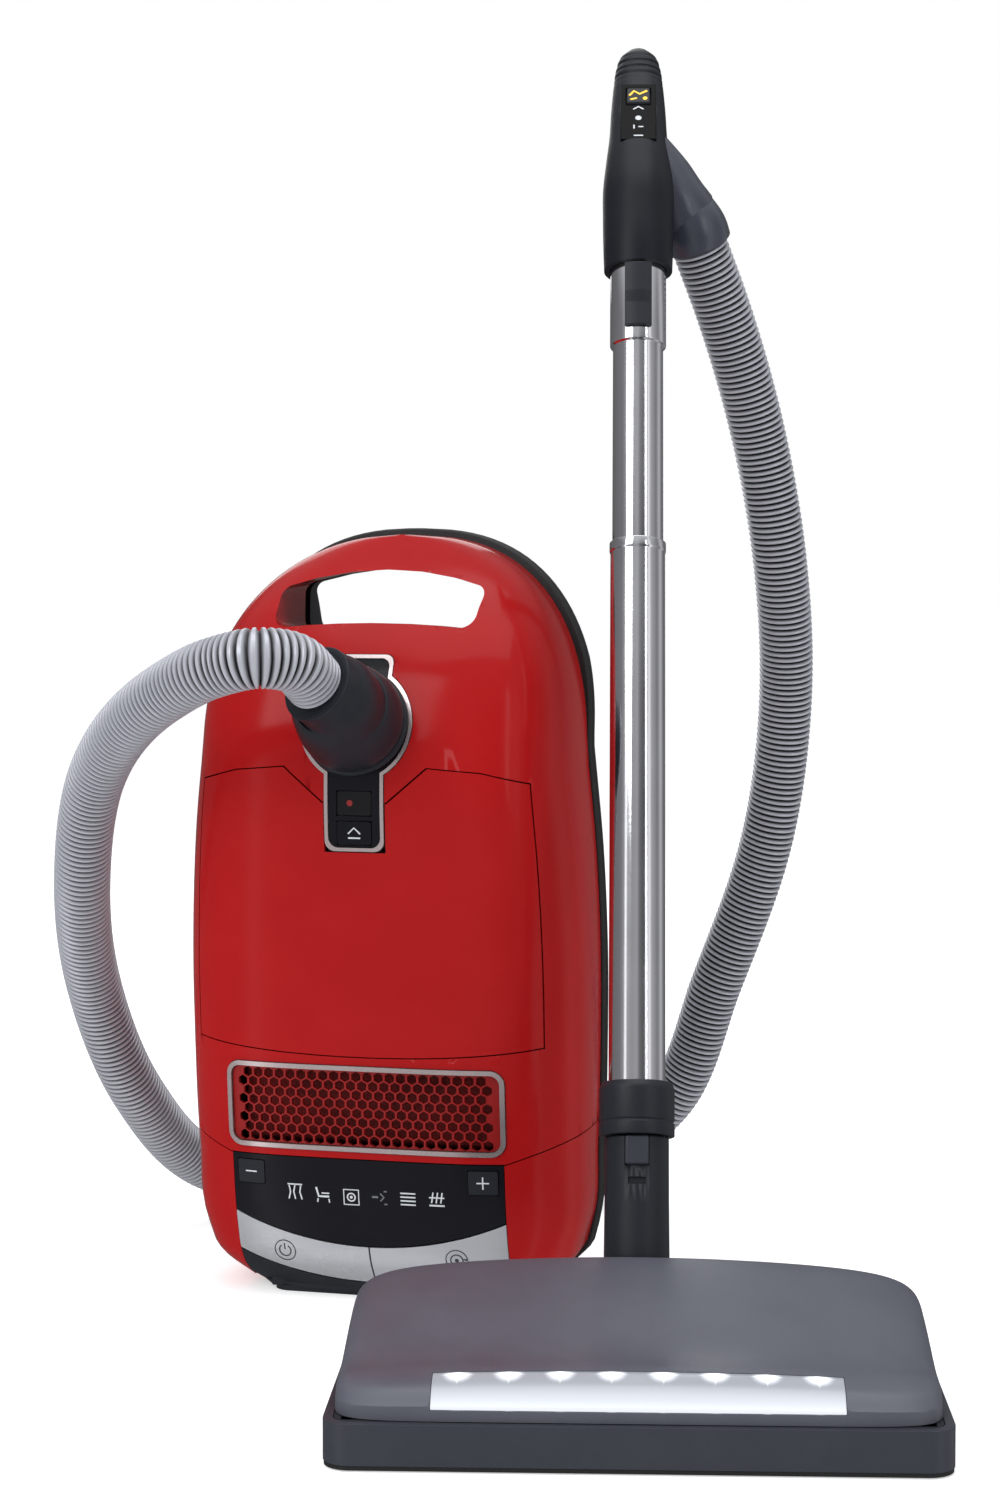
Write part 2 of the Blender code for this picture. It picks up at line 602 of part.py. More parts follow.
def make_front_controls():
    band = [socket_outline(0), socket_outline(TRIM_BAND)]
    front_panel("socket_trim", band, "silver_plastic", 0.0010, spacing=0.06)
    windows = [rectangle(-0.0122, 0.3150, 0.0122, 0.3315), rectangle(-0.0122, 0.3345, 0.0122, 0.3515)]
    hole = circle(0, SOCKET_Z, 0.0325)
    plate = [socket_outline(TRIM_BAND + FIT), hole, *windows]
    front_panel("socket_plate", plate, "black_gloss", spacing=0.06)
    latch, indicator = rectangle(-0.0117, 0.3155, 0.0117, 0.3310), rectangle(-0.0117, 0.3350, 0.0117, 0.3510)
    front_panel("latch_button", [latch], "black_gloss", 0.0006, 0.0035)
    front_panel("bag_indicator", [indicator], "black_gloss", -0.0006, 0.0035)
    frame = [grille_outline(0), grille_outline(GRILLE_BAND)]
    front_panel("grille_frame", frame, "silver_plastic", 0.0012, 0.004)
    places = [(0.0225 * (k - 3.5), z) for k in range(8) for z in (0.1245, 0.1475)]
    holes = [circle(x, z, 0.0085, 6, math.pi / 6) for x, z in places]
    front_panel("exhaust_grille", [grille_outline(GRILLE_BAND + FIT), *holes], "red_gloss", -0.0012, 0.004)
    buttons = [rectangle(0.0715, 0.080, 0.0920, 0.0972), rectangle(-0.0920, 0.080, -0.0715, 0.0972)]
    front_panel("control_panel", [panel_outline(), *buttons], "black_gloss")
    for name, sign in (("plus_button", 1), ("minus_button", -1)):
        x = sign * 0.08175
        button = rectangle(x - 0.0098, 0.0805, x + 0.0098, 0.0967)
        front_panel(name, [button], "dark_plastic", 0.0006, 0.0035)
        hang_on(bpy.data.objects[name], (x, case_front(x, 0.0885), 0.0885))
    hinge_line = case_front(0, GRILLE_LOW) - 0.0013
    for name in ("grille_frame", "exhaust_grille"):
        hang_on(bpy.data.objects[name], (0, hinge_line, GRILLE_LOW))
    hang_on(bpy.data.objects["latch_button"], (0, case_front(0, 0.323), 0.323))


def make_pedals():
    half = PANEL_HALF_WIDTH
    for name, sign in (("on_off_pedal", -1), ("rewind_pedal", 1)):
        xs = [0.0006 + (half - 0.0006) * k / 4 for k in range(5)]
        top = [(x, PANEL_LOW + PANEL_LOW_RISE * (x / half) ** 2 - PEDAL_GAP) for x in xs]
        low = [(x, PEDAL_LOW + PEDAL_LOW_RISE * (x / half) ** 2) for x in xs]
        loop = [(sign * x, z) for x, z in low + top[::-1]]
        front_panel(name, [loop], "silver_plastic", 0.0003)
        hang_on(bpy.data.objects[name], (0, -0.070, PEDAL_LOW))


def make_foot():
    half = PANEL_HALF_WIDTH
    top = [(x, z - PEDAL_GAP) for x, z in bowed(half, PEDAL_LOW, PEDAL_LOW_RISE)]
    low = [(-half, 0.0105), (-0.079, 0.003), (0.079, 0.003), (half, 0.0105)]
    front_panel("foot", [low + top[::-1]], "dark_plastic", 0.0, 0.008)
    foot = bpy.data.objects["foot"]
    foot.name = "stand_foot"
    sole = rounded(rectangle(-FOOT_HALF_WIDTH, -0.0595, FOOT_HALF_WIDTH, 0.060), 0.012)
    base = slab("foot_sole", [sole], 0.0, CASE_BOTTOM - 0.0024, None, cutters)
    block = box_cutter("foot_block", (-FOOT_HALF_WIDTH, -0.058, 0.003), (FOOT_HALF_WIDTH, -0.0212, 0.012))
    join(foot, base, block)


# Hose socket and the canister's elbow


def socket_point(out):
    """A point on the socket's axis, this far out from the casing's front."""
    start = Vector((0, case_front(0, SOCKET_Z), SOCKET_Z))
    return start + out * Vector((0, -math.cos(SOCKET_TILT), math.sin(SOCKET_TILT)))


def duct_bend(tail):
    """The inlet duct's route: along the socket's axis, then down in an arc to the bag."""
    start = socket_point(-0.0335)
    route = [socket_point(-0.0295)]
    for angle in (18, 36, 54, 72, 90):
        a = math.radians(angle)
        across = math.sin(a) - math.sin(SOCKET_TILT)
        down = math.cos(a) - math.cos(SOCKET_TILT)
        route.append(start + DUCT_BEND * Vector((0, across, down)))
    return route + [route[-1] - Vector((0, 0, tail))]


def make_socket():
    turn = (math.pi / 2 - SOCKET_TILT, 0, 0)
    ring = ring_profile(0.030, 0.0272, -0.029, 0.0006)
    socket = turned("hose_socket", ring, "dark_plastic", 20, closed=True)
    put(socket, socket_point(0), turn)
    route = duct_bend(0.006)
    duct = bent_tube("inlet_duct", route, [0.0265] * len(route), "dark_plastic")
    route = [socket_point(-0.02)] + duct_bend(0.01)[1:]
    cut(duct, bent_tube("duct_bore", route, [0.0235] * len(route), None, collection=cutters))
    end = duct_bend(0.0)[-1]
    plate = rounded(rectangle(-0.045, end.y - 0.036, 0.045, end.y + 0.046), 0.008)
    mouth = circle(0, end.y, 0.022, 16)
    slab("bag_collar", [plate, mouth], end.z - 0.0104, end.z - 0.0064, "silver_plastic")


def make_elbow():
    """The swivelling elbow, from the socket's face to the hose."""
    end, following = [Vector(p) for p in hose_points()[:2]]
    way = (end - following).normalized()
    route = [socket_point(out) for out in (0.0016, 0.010, 0.022, 0.038)]
    route += [end + way * 0.020, end + way * 0.012, end + way * 0.0012]
    radii = [0.0335, 0.0345, 0.0335, 0.0300, 0.0262, 0.0255, 0.0255]
    elbow = bent_tube("canister_elbow", route, radii, "dark_plastic")
    route = [socket_point(-0.003)] + route[1:-1] + [end - way * 0.003]
    cut(elbow, bent_tube("elbow_bore", route, [r - 0.0045 for r in radii], None, collection=cutters))
    hang_on(elbow, socket_point(0))


# Inside the canister


def make_internals():
    wall_edge = rounded(rectangle(-0.117, -0.083, 0.117, 0.058), 0.026)
    air_hole = circle(MOTOR_X, MOTOR_Y, 0.021, 16)
    slab("bulkhead", [wall_edge, air_hole], 0.1675, 0.1705, "dark_plastic")
    low, high, radius, wall = MOTOR_LOW, MOTOR_HIGH, MOTOR_RADIUS, 0.0025
    cup = [(0, low + wall), (radius - wall, low + wall), (radius - wall, high - wall), (0.021, high - wall),
           (0.021, high), (radius, high), (radius, low), (0, low)]
    put(turned("motor_housing", cup, "dark_plastic"), (MOTOR_X, MOTOR_Y, 0))
    rotor = [(0, 0.144), (0.007, 0.144), (0.007, 0.140), (0.040, 0.140), (0.040, 0.128), (0.007, 0.128),
             (0.007, 0.106), (0.024, 0.106), (0.024, 0.058), (0.004, 0.058), (0.004, 0.036), (0, 0.036)]
    put(turned("fan_rotor", rotor, "steel", 20), (MOTOR_X, MOTOR_Y, 0))
    w, r, hub = REEL_HALF_WIDTH, REEL_RADIUS, 0.020
    spool = [(r, w), (r, w - 0.003), (hub, w - 0.003), (hub, 0.003 - w), (r, 0.003 - w), (r, -w)]
    spool += [(0.006, -w), (0.006, w)]
    reel = turned("cord_reel", spool, "dark_plastic", 20, closed=True)
    put(reel, (REEL_X, 0, REEL_Z), (math.pi / 2, 0, 0))
    axle_ends = (REEL_X, -0.034, REEL_Z), (REEL_X, CHASSIS_Y + 0.0325, REEL_Z)
    rod("reel_axle", *axle_ends, 0.0055, "steel", 12)
    gland = [(0.0085, 0.0072), (0.0085, 0.0050), (0.0062, 0.0050), (0.0062, -0.006)]
    gland += [(0.0042, -0.006), (0.0042, 0.0072)]
    outlet = turned("cord_outlet", gland, "rubber", 14, closed=True)
    put(outlet, (-0.1282, 0.056, 0.07), (0, -math.pi / 2, 0))
    box("exhaust_filter", (-0.088, -0.0810, 0.110), (0.088, -0.0640, 0.162), "filter_white", 0.002)
    box("control_board", (-0.066, -0.0720, 0.066), (0.066, -0.0704, 0.1), "board_green")
    bag = box("dust_bag", (-0.098, -0.078, 0.188), (0.098, 0.050, 0.332), "bag_cloth")
    soften = bag.modifiers.new("rounded edges", "BEVEL")
    soften.width = 0.028
    soften.segments = 3
    rod("lid_hinge_pin", (-0.080, -0.0885, 0.1668), (0.080, -0.0885, 0.1668), 0.0018, "steel", 8)


def make_casters():
    for number, (x, z) in enumerate(CASTERS, 1):
        centre = empty(f"caster_{number}_axis", (x, CASTER_Y, z))
        wheel_place = (0, CASTER_DEPTH, -CASTER_TRAIL)
        block = box_mesh((-0.0138, 0.0040, -0.0185), (0.0138, CASTER_DEPTH + 0.005, 0.0085))
        fork = finish_mesh(block, f"caster_fork_{number}", "dark_plastic")
        gap = box_cutter(f"fork_gap_{number}", (-0.0103, 0.0065, -0.03), (0.0103, 0.05, 0.02))
        disc = rod_cutter(f"fork_disc_{number}", (0, 0.0003, 0), (0, 0.0055, 0), 0.0135, 16)
        pin_ends = (-0.0125, *wheel_place[1:]), (0.0125, *wheel_place[1:])
        pin = rod_cutter(f"fork_pin_{number}", *pin_ends, 0.0022, 8)
        for piece in (fork, gap, disc, pin):
            put(piece, parent=centre)
        cut(fork, gap)
        join(fork, disc, pin)
        tread = [(CASTER_RADIUS - 0.0015, 0.0093), (CASTER_RADIUS, 0.0075), (CASTER_RADIUS, -0.0075),
                 (CASTER_RADIUS - 0.0015, -0.0093), (0.0027, -0.0093), (0.0027, 0.0093)]
        wheel = turned(f"caster_wheel_{number}", tread, "rubber", 16, closed=True)
        put(wheel, wheel_place, (0, math.pi / 2, 0), centre)


# Floor head


def cover_ring(x, inset):
    """The cover's outline in its own Y and Z where it is this far across."""
    half = COVER_HALF_WIDTH - inset
    share = min(abs(x) / half, 1.0)
    height = (1 - share**6) ** (1 / 6) * (1 - 0.19 * share**2)
    depth = (1 - share**10) ** (1 / 10)
    middle = (COVER_PROFILE[0][0] + COVER_PROFILE[-1][0]) / 2
    low = COVER_LOW - (0.004 if inset else 0)
    ring = [(x, middle + (COVER_PROFILE[0][0] + inset - middle) * depth, low)]
    for y, z in COVER_PROFILE[1:-1]:
        nearer = y + inset * (1 if y < middle else -1) * (abs(y - middle) / middle) ** 2
        above = max(z - COVER_LOW - inset, 0.0005) * height
        ring.append((x, middle + (nearer - middle) * depth, COVER_LOW + above))
    ring.append((x, middle + (COVER_PROFILE[-1][0] - inset - middle) * depth, low))
    return ring


def cover_solid(name, inset, material, collection=parts):
    half = COVER_HALF_WIDTH - inset
    angles = [-86, -76, -64, -50, -36, -18, 0, 18, 36, 50, 64, 76, 86]
    rings = [cover_ring(half * math.sin(math.radians(a)), inset) for a in angles]
    return loft(name, rings, material, collection)


def make_head(head):
    cover = cover_solid("head_cover", 0, "head_plastic")
    hollow = cover_solid("cover_hollow", 0.0025, None, cutters)
    window = box_cutter("led_window", (-LED_HALF_WIDTH, -0.02, 0.033), (LED_HALF_WIDTH, 0.033, 0.08))
    cut(cover, hollow, window)
    lens = cover_solid("led_lens", 0.0003, "lens")
    behind = cover_solid("lens_hollow", 0.0018, None, cutters)
    lens_half = LED_HALF_WIDTH - FIT
    keep = box_cutter("lens_region", (-lens_half, -0.02, 0.033 + FIT), (lens_half, 0.033 - FIT, 0.08))
    cut(lens, behind)
    cut(lens, keep, operation="INTERSECT")
    board = box("led_board", (-0.110, -0.0008, -0.006), (0.110, 0.0008, 0.006), "board_green")
    rail = rounded(rectangle(-HEAD_HALF_WIDTH, 0.0, HEAD_HALF_WIDTH, HEAD_DEPTH), 0.016)
    inner = rounded(rectangle(-0.1695, 0.0055, 0.1695, HEAD_DEPTH - 0.0055), 0.012)
    bumper = slab("head_bumper", [rail, inner], 0.0035, COVER_LOW - FIT, "head_plastic")
    tray_edge = rounded(rectangle(-0.1690, 0.006, 0.1690, HEAD_DEPTH - 0.006), 0.0115)
    base = slab("head_base", [tray_edge], 0.0035, COVER_LOW - FIT, "dark_plastic")
    tray = box_cutter("tray_hollow", (-0.1645, 0.010, 0.0065), (0.1645, HEAD_DEPTH - 0.010, 0.05))
    mouth = box_cutter("brush_mouth", (-0.148, 0.0255, -0.01), (0.148, 0.0685, 0.02))
    glides = []
    for number, x in ((1, -0.12), (2, 0.12)):
        glides.append(box_cutter(f"glide_{number}", (x - 0.012, 0.074, 0.0003), (x + 0.012, 0.082, 0.005)))
    cut(base, tray, mouth)
    join(base, *glides)
    for piece in (cover, hollow, window, lens, behind, keep, bumper, base, tray, mouth, *glides):
        put(piece, parent=head)
    put(board, (0, 0.0205, 0.0362), (math.radians(-42), 0, 0), head)


def make_brush(head):
    half, r = 0.146, ROLLER_RADIUS
    roller = [(0, half), (r, half), (r, -half), (0.004, -half), (0.004, -0.160), (0, -0.160)]
    pulley_end = [(0, 0.1585), (0.0085, 0.1585), (0.0085, 0.1485), (0.004, 0.1485), (0.004, 0.1455)]
    profile = pulley_end + [(r, 0.1455)] + roller[2:]
    put(turned("brush_roller", profile, "bristle", 16), (0, ROLLER_Y, ROLLER_Z), (0, math.pi / 2, 0), head)
    motor = [(0, 0.146), (0.0032, 0.146), (0.0032, 0.085), (0.017, 0.085), (0.017, -0.03), (0, -0.03)]
    motor_centre, sideways = (0, BRUSH_MOTOR_Y, BRUSH_MOTOR_Z), (0, math.pi / 2, 0)
    put(turned("brush_motor", motor, "steel", 16), motor_centre, sideways, head)
    pulley = [(0, 0.1585), (0.006, 0.1585), (0.006, 0.1468), (0, 0.1468)]
    put(turned("motor_pulley", pulley, "steel", 14), motor_centre, sideways, head)
    belt = outline_mesh([belt_loop(0.0024), belt_loop(FIT)], 0.008)
    turn = Matrix(((0, 0, 1, BELT_X), (1, 0, 0, 0), (0, 1, 0, 0), (0, 0, 0, 1)))
    bmesh.ops.transform(belt, matrix=turn, verts=belt.verts)
    put(finish_mesh(belt, "drive_belt", "rubber"), parent=head)


def belt_loop(grow):
    """The belt's way round the two pulleys, in the head's Y and Z."""
    near, far = Vector((ROLLER_Y, ROLLER_Z)), Vector((BRUSH_MOTOR_Y, BRUSH_MOTOR_Z))
    r_near, r_far = 0.0085 + grow, 0.006 + grow
    way = math.atan2(far.y - near.y, far.x - near.x)
    lean = math.acos((r_near - r_far) / (far - near).length)
    loop = []
    far_arc = (far, r_far, way - lean, way + lean)
    near_arc = (near, r_near, way + lean, way - lean + 2 * math.pi)
    for centre, radius, first, last in (far_arc, near_arc):
        for k in range(9):
            a = first + (last - first) * k / 8
            loop.append((centre.x + radius * math.cos(a), centre.y + radius * math.sin(a)))
    return loop


def make_cradle(head):
    """The yoke that carries the neck, with its pin and the rear wheels' axle."""
    block = box_mesh((-0.0315, HEAD_DEPTH + 0.0022, 0.008), (0.0315, 0.2300, 0.0200))
    cradle = finish_mesh(block, "neck_cradle", "dark_plastic")
    cheeks = []
    for number, x in ((1, -0.027), (2, 0.027)):
        low, high = (x - 0.0045, 0.1975, 0.015), (x + 0.0045, 0.2265, 0.0560)
        cheeks.append(box_cutter(f"cheek_{number}", low, high))
    pin = rod_cutter("neck_pin", (-0.029, PIVOT_Y, PIVOT_Z), (0.029, PIVOT_Y, PIVOT_Z), 0.004, 12)
    axle_place = (HEAD_WHEEL_Y, HEAD_WHEEL_RADIUS)
    axle = rod_cutter("wheel_axle", (-0.056, *axle_place), (0.056, *axle_place), 0.003, 10)
    join(cradle, *cheeks, pin, axle)
    for piece in (cradle, *cheeks, pin, axle):
        put(piece, parent=head)
    for name, sign in (("head_wheel_left", -1), ("head_wheel_right", 1)):
        r = HEAD_WHEEL_RADIUS
        tread = [(r - 0.002, 0.009), (r, 0.007), (r, -0.007), (r - 0.002, -0.009)]
        tread += [(0.0034, -0.009), (0.0034, 0.009)]
        wheel = turned(name, tread, "rubber", 20, closed=True)
        put(wheel, (sign * 0.0435, HEAD_WHEEL_Y, r), (0, math.pi / 2, 0), head)


# Wand and handle


def make_neck(wand):
    neck_profile = [(0, 0.129), (0.0164, 0.129), (0.0164, COLLAR_LOW - FIT), (NECK_RADIUS, COLLAR_LOW - FIT),
                    (NECK_RADIUS, 0.060), (0.0205, 0.030), (0.0195, 0.012), (0, 0.012)]
    neck = turned("neck", neck_profile, "dark_plastic", 20)
    barrel = rod_cutter("neck_barrel", (-0.0218, 0, 0), (0.0218, 0, 0), 0.0188, 20)
    eye = rod_cutter("neck_eye", (-0.05, 0, 0), (0.05, 0, 0), 0.0044, 12)
    bore = rod_cutter("neck_bore", (0, 0, 0.030), (0, 0, 0.15), 0.0135, 16)
    pocket = box_cutter("latch_pocket", (-0.0077, -0.03, 0.0845), (0.0077, -0.0152, 0.12))
    join(neck, barrel)
    cut(neck, eye, bore, pocket)
    tab = box("wand_latch", (-0.0073, -0.0214, 0.0849), (0.0073, -0.0178, 0.1030), "head_plastic", 0.001)
    r, inner = COLLAR_RADIUS, LOWER_RADIUS + FIT
    collar = [(r - 0.0012, COLLAR_HIGH), (r, COLLAR_HIGH - 0.003), (r, COLLAR_LOW)]
    collar += [(inner, COLLAR_LOW), (inner, COLLAR_HIGH)]
    ring = turned("wand_collar", collar, "dark_plastic", 20, closed=True)
    for piece in (neck, barrel, eye, bore, pocket, tab, ring):
        put(piece, parent=wand)


def make_tubes(wand):
    r, bore, low = LOWER_RADIUS, LOWER_BORE, COLLAR_LOW + FIT
    lower = [(r + 0.0006, LOWER_TOP), (r + 0.0006, LOWER_TOP - 0.006), (r, LOWER_TOP - 0.007)]
    lower += [(r, low), (bore, low), (bore, LOWER_TOP)]
    r, bore = UPPER_RADIUS, UPPER_BORE
    upper = [(SLEEVE_RADIUS, SLEEVE_HIGH), (SLEEVE_RADIUS, SLEEVE_LOW), (r, SLEEVE_LOW - 0.001)]
    upper += [(r, 0.235), (bore, 0.235), (bore, SLEEVE_HIGH)]
    for name, profile in (("lower_tube", lower), ("upper_tube", upper)):
        put(turned(name, profile, "chrome", 24, closed=True), parent=wand)
    saddle = ring_profile(0.0236, SLEEVE_RADIUS + FIT, 0.640, 0.6840)
    slider = turned("length_slider", saddle, "dark_plastic", 24, closed=True)
    keep = box_cutter("slider_region", (-0.0090, -0.03, 0.6), (0.0090, -0.008, 0.7))
    cut(slider, keep, operation="INTERSECT")
    for piece in (slider, keep):
        put(piece, parent=wand)


def handle_ring(z, back, wide, deep, grow=0.0, sides=16):
    turns = [2 * math.pi * k / sides for k in range(sides)]
    return [((wide + grow) * math.cos(a), back + (deep + grow) * math.sin(a), z) for a in turns]


def make_handle(wand):
    body = loft("handle_body", [handle_ring(*section) for section in HANDLE_SECTIONS], "dark_plastic")
    bore = rod_cutter("handle_bore", (0, 0, 0.60), (0, 0, 0.7080), SLEEVE_RADIUS + FIT)
    port = rod_cutter("elbow_port", PORT_CENTRE + PORT_WAY * 0.016, PORT_CENTRE + PORT_WAY * 0.06, 0.0183)
    panel_turn = (math.radians(-21), 0, 0)
    centre = (0, 0.0045, 0.805)
    hollow = box_mesh((-0.0124, -0.01, -0.0275), (0.0124, 0.0028, 0.0275))
    pocket = finish_mesh(hollow, "panel_pocket", None, cutters)
    panel = box("handle_panel", (-0.0120, -0.0010, -0.0271), (0.0120, 0.0024, 0.0271), "black_gloss", 0.0008)
    window = box_cutter("rocker_window", (-0.0085, -0.01, 0.0065), (0.0085, 0.01, 0.0225))
    low, high = (-0.0080, -0.0024, -0.0074), (0.0080, 0.0012, 0.0074)
    rocker = box("handle_rocker", low, high, "dark_plastic", 0.0008)
    cut(panel, window)
    cut(body, bore, port, pocket)
    for piece in (body, bore, port):
        put(piece, parent=wand)
    face = empty("handle_face", centre, panel_turn, wand)
    for piece in (pocket, panel, window):
        put(piece, parent=face)
    put(rocker, (0, 0, 0.0145), parent=face)


def make_handle_elbow(wand):
    """Runs from the handle's port to the hose's upper end."""
    into_wand = wand_matrix().inverted()
    before, end = [into_wand @ Vector(p) for p in hose_points()[-2:]]
    way = (end - before).normalized()
    route = [PORT_CENTRE + PORT_WAY * t for t in (0.0165, 0.045, 0.053)]
    route += [end + way * t for t in (0.010, 0.0012)]
    elbow = bent_tube("handle_elbow", route, [0.0176, 0.0176, 0.0205, 0.0225, 0.0225], "head_plastic")
    put(elbow, parent=wand)
    hang_on(elbow, route[0])


def wand_matrix():
    head = Matrix.Translation(HEAD_PLACE) @ Matrix.Rotation(HEAD_YAW, 4, "Z")
    return head @ Matrix.Translation((0, PIVOT_Y, PIVOT_Z)) @ Matrix.Rotation(-WAND_LEAN, 4, "X")


def hose_points():
    return smooth_route(HOSE_ROUTE, 2 * HOSE_RADIUS)


def make_hose():
    points = hose_points()
    curve = bpy.data.curves.new("suction_hose", "CURVE")
    curve.dimensions = "3D"
    curve.bevel_depth = HOSE_RADIUS
    curve.bevel_resolution = 3
    curve.use_fill_caps = True
    spline = curve.splines.new("POLY")
    spline.points.add(len(points) - 1)
    for point, place in zip(spline.points, points):
        point.co = (*place, 1)
    curve.materials.append(bpy.data.materials["hose_grey"])
    parts.objects.link(bpy.data.objects.new("suction_hose", curve))


def main():
    clear_scene()
    make_materials()
    opening = make_casing()
    make_bumper(opening)
    make_front_controls()
    make_pedals()
    make_foot()
    make_socket()
    make_elbow()
    make_internals()
    make_casters()
    head = empty("head_frame", HEAD_PLACE, (0, 0, HEAD_YAW))
    wand = empty("wand_frame", (0, PIVOT_Y, PIVOT_Z), (-WAND_LEAN, 0, 0), head)
    make_head(head)
    make_brush(head)
    make_cradle(head)
    make_neck(wand)
    make_tubes(wand)
    make_handle(wand)
    make_handle_elbow(wand)
    make_hose()


main()
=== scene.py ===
"""Looks for the canister vacuum cleaner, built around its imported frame.

Lengths are in metres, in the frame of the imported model: the canister stands on its rear end with its top face
towards -Y, and the floor head stands before it with the wand leaning back.
"""

import json
import math

import bmesh
import bpy
import numpy as np
from mathutils import Matrix, Vector

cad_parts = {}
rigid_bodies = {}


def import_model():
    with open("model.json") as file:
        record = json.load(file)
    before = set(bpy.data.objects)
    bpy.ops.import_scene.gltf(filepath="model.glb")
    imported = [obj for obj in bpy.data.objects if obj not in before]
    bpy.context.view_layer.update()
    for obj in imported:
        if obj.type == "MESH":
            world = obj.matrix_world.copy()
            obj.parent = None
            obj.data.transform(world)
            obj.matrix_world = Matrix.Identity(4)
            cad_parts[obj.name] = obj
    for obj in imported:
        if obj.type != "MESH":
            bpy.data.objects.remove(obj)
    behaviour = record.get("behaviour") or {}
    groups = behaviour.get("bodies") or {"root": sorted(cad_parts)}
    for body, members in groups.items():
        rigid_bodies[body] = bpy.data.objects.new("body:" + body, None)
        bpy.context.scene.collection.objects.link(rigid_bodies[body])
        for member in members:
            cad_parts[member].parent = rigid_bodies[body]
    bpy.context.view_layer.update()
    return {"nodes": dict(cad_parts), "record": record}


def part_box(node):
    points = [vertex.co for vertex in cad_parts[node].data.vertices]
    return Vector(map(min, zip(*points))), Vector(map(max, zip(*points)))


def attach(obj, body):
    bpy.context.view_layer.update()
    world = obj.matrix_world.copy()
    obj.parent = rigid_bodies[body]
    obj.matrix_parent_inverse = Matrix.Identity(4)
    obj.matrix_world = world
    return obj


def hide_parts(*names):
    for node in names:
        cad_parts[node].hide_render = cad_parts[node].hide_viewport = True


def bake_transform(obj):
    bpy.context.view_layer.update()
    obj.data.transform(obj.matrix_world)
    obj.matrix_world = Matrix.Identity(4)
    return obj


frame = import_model()
RECORD = frame["record"]
BODY_OF = {node: body for body, nodes in RECORD["behaviour"]["bodies"].items() for node in nodes}
SLOT_OF = {row["node"]: row["material_slot"] for row in RECORD["subparts"]}
TAU = 2 * math.pi

# The casing's form, as in the frame.
FIT = 0.0004
CASE_BOTTOM, CASE_TOP = 0.006, 0.522
ARCH_Z, ARCH_HALF_WIDTH, ARCH_ROUNDNESS = 0.375, 0.1265, 2.4
ARCH_RISE = CASE_TOP - ARCH_Z
HALF_WIDTHS = (
    (CASE_BOTTOM, 0.103), (0.02, 0.121), (0.045, 0.1315), (0.10, 0.1350),
    (0.17, 0.1365), (0.23, 0.1365), (0.30, 0.1335), (ARCH_Z, ARCH_HALF_WIDTH),
)
FRONT_LINE = (
    (CASE_BOTTOM, -0.062), (0.03, -0.079), (0.05, -0.085), (0.11, -0.095), (0.20, -0.103),
    (0.30, -0.1105), (0.345, -0.1135), (0.375, -0.112), (0.40, -0.106), (0.44, -0.090),
    (0.47, -0.068), (0.49, -0.048), (CASE_TOP, -0.010),
)
ROUNDNESS, FLARE = 4, 0.03
SPLIT_Y = 0.022
HANDLE_BEND, HANDLE_BEND_Z = -0.008, 0.42
BUMPER_DEPTH = 0.0154
CHASSIS_Y = SPLIT_Y + BUMPER_DEPTH + 2 * FIT
HOLLOW_TOP = 0.44
WALL = 0.003
SOCKET_Z, SOCKET_TILT = 0.395, math.radians(20)
TRIM_RADIUS, TRIM_BAND = 0.0385, 0.0024
PLATE_HALF_WIDTH, PLATE_TOP = 0.0215, 0.441
LATCH_HALF_WIDTH, LATCH_LOW = 0.0205, 0.311
LID_SHARE, LID_LOW, LID_LOW_RISE = 0.885, 0.172, 0.008
GRILLE_HALF_WIDTH, GRILLE_LOW, GRILLE_HIGH, GRILLE_BAND = 0.0975, 0.1065, 0.1655, 0.0032
PANEL_HALF_WIDTH, PANEL_HIGH, PANEL_LOW, PANEL_LOW_RISE = 0.0955, 0.1008, 0.040, 0.0205
PEDAL_GAP, PEDAL_LOW, PEDAL_LOW_RISE = 0.001, 0.0115, 0.0205
FOOT_HALF_WIDTH = 0.078
OPENING_HALF_WIDTH, OPENING_LOW, OPENING_HIGH = 0.070, 0.458, 0.4965
CASTERS = ((0.0, 0.41), (-0.085, 0.062), (0.085, 0.062))
CASTER_Y, CASTER_TRAIL, CASTER_RADIUS, CASTER_DEPTH = 0.0744, 0.012, 0.0155, 0.0236

# Floor head and wand, as in the frame.
HEAD_PLACE, HEAD_YAW = (0.2573, -0.4093, 0.0), math.radians(12.5)
HEAD_HALF_WIDTH, HEAD_DEPTH = 0.175, 0.192
COVER_HALF_WIDTH, COVER_LOW = 0.1705, 0.0272
COVER_PROFILE = (
    (0.006, COVER_LOW), (0.0075, 0.036), (0.018, 0.0455), (0.036, 0.0500), (0.055, 0.0515),
    (0.075, 0.0555), (0.105, 0.0640), (0.14, 0.0730), (0.170, 0.0790), (0.184, 0.0785),
    (0.191, 0.0700), (0.1935, COVER_LOW),
)
LED_HALF_WIDTH, LED_EDGE, LAMPS = 0.115, 0.033, 8
LAMP_SPACING = 2 * LED_HALF_WIDTH / LAMPS
PIVOT_Y, PIVOT_Z, WAND_LEAN = 0.212, 0.042, math.radians(17)
NECK_RADIUS, COLLAR_RADIUS = 0.0202, 0.0238
LOWER_RADIUS, UPPER_RADIUS = 0.0180, 0.0168
COLLAR_LOW, COLLAR_HIGH, LOWER_TOP = 0.104, 0.138, 0.494
SLEEVE_LOW, SLEEVE_HIGH, SLEEVE_RADIUS = 0.632, 0.690, 0.0188
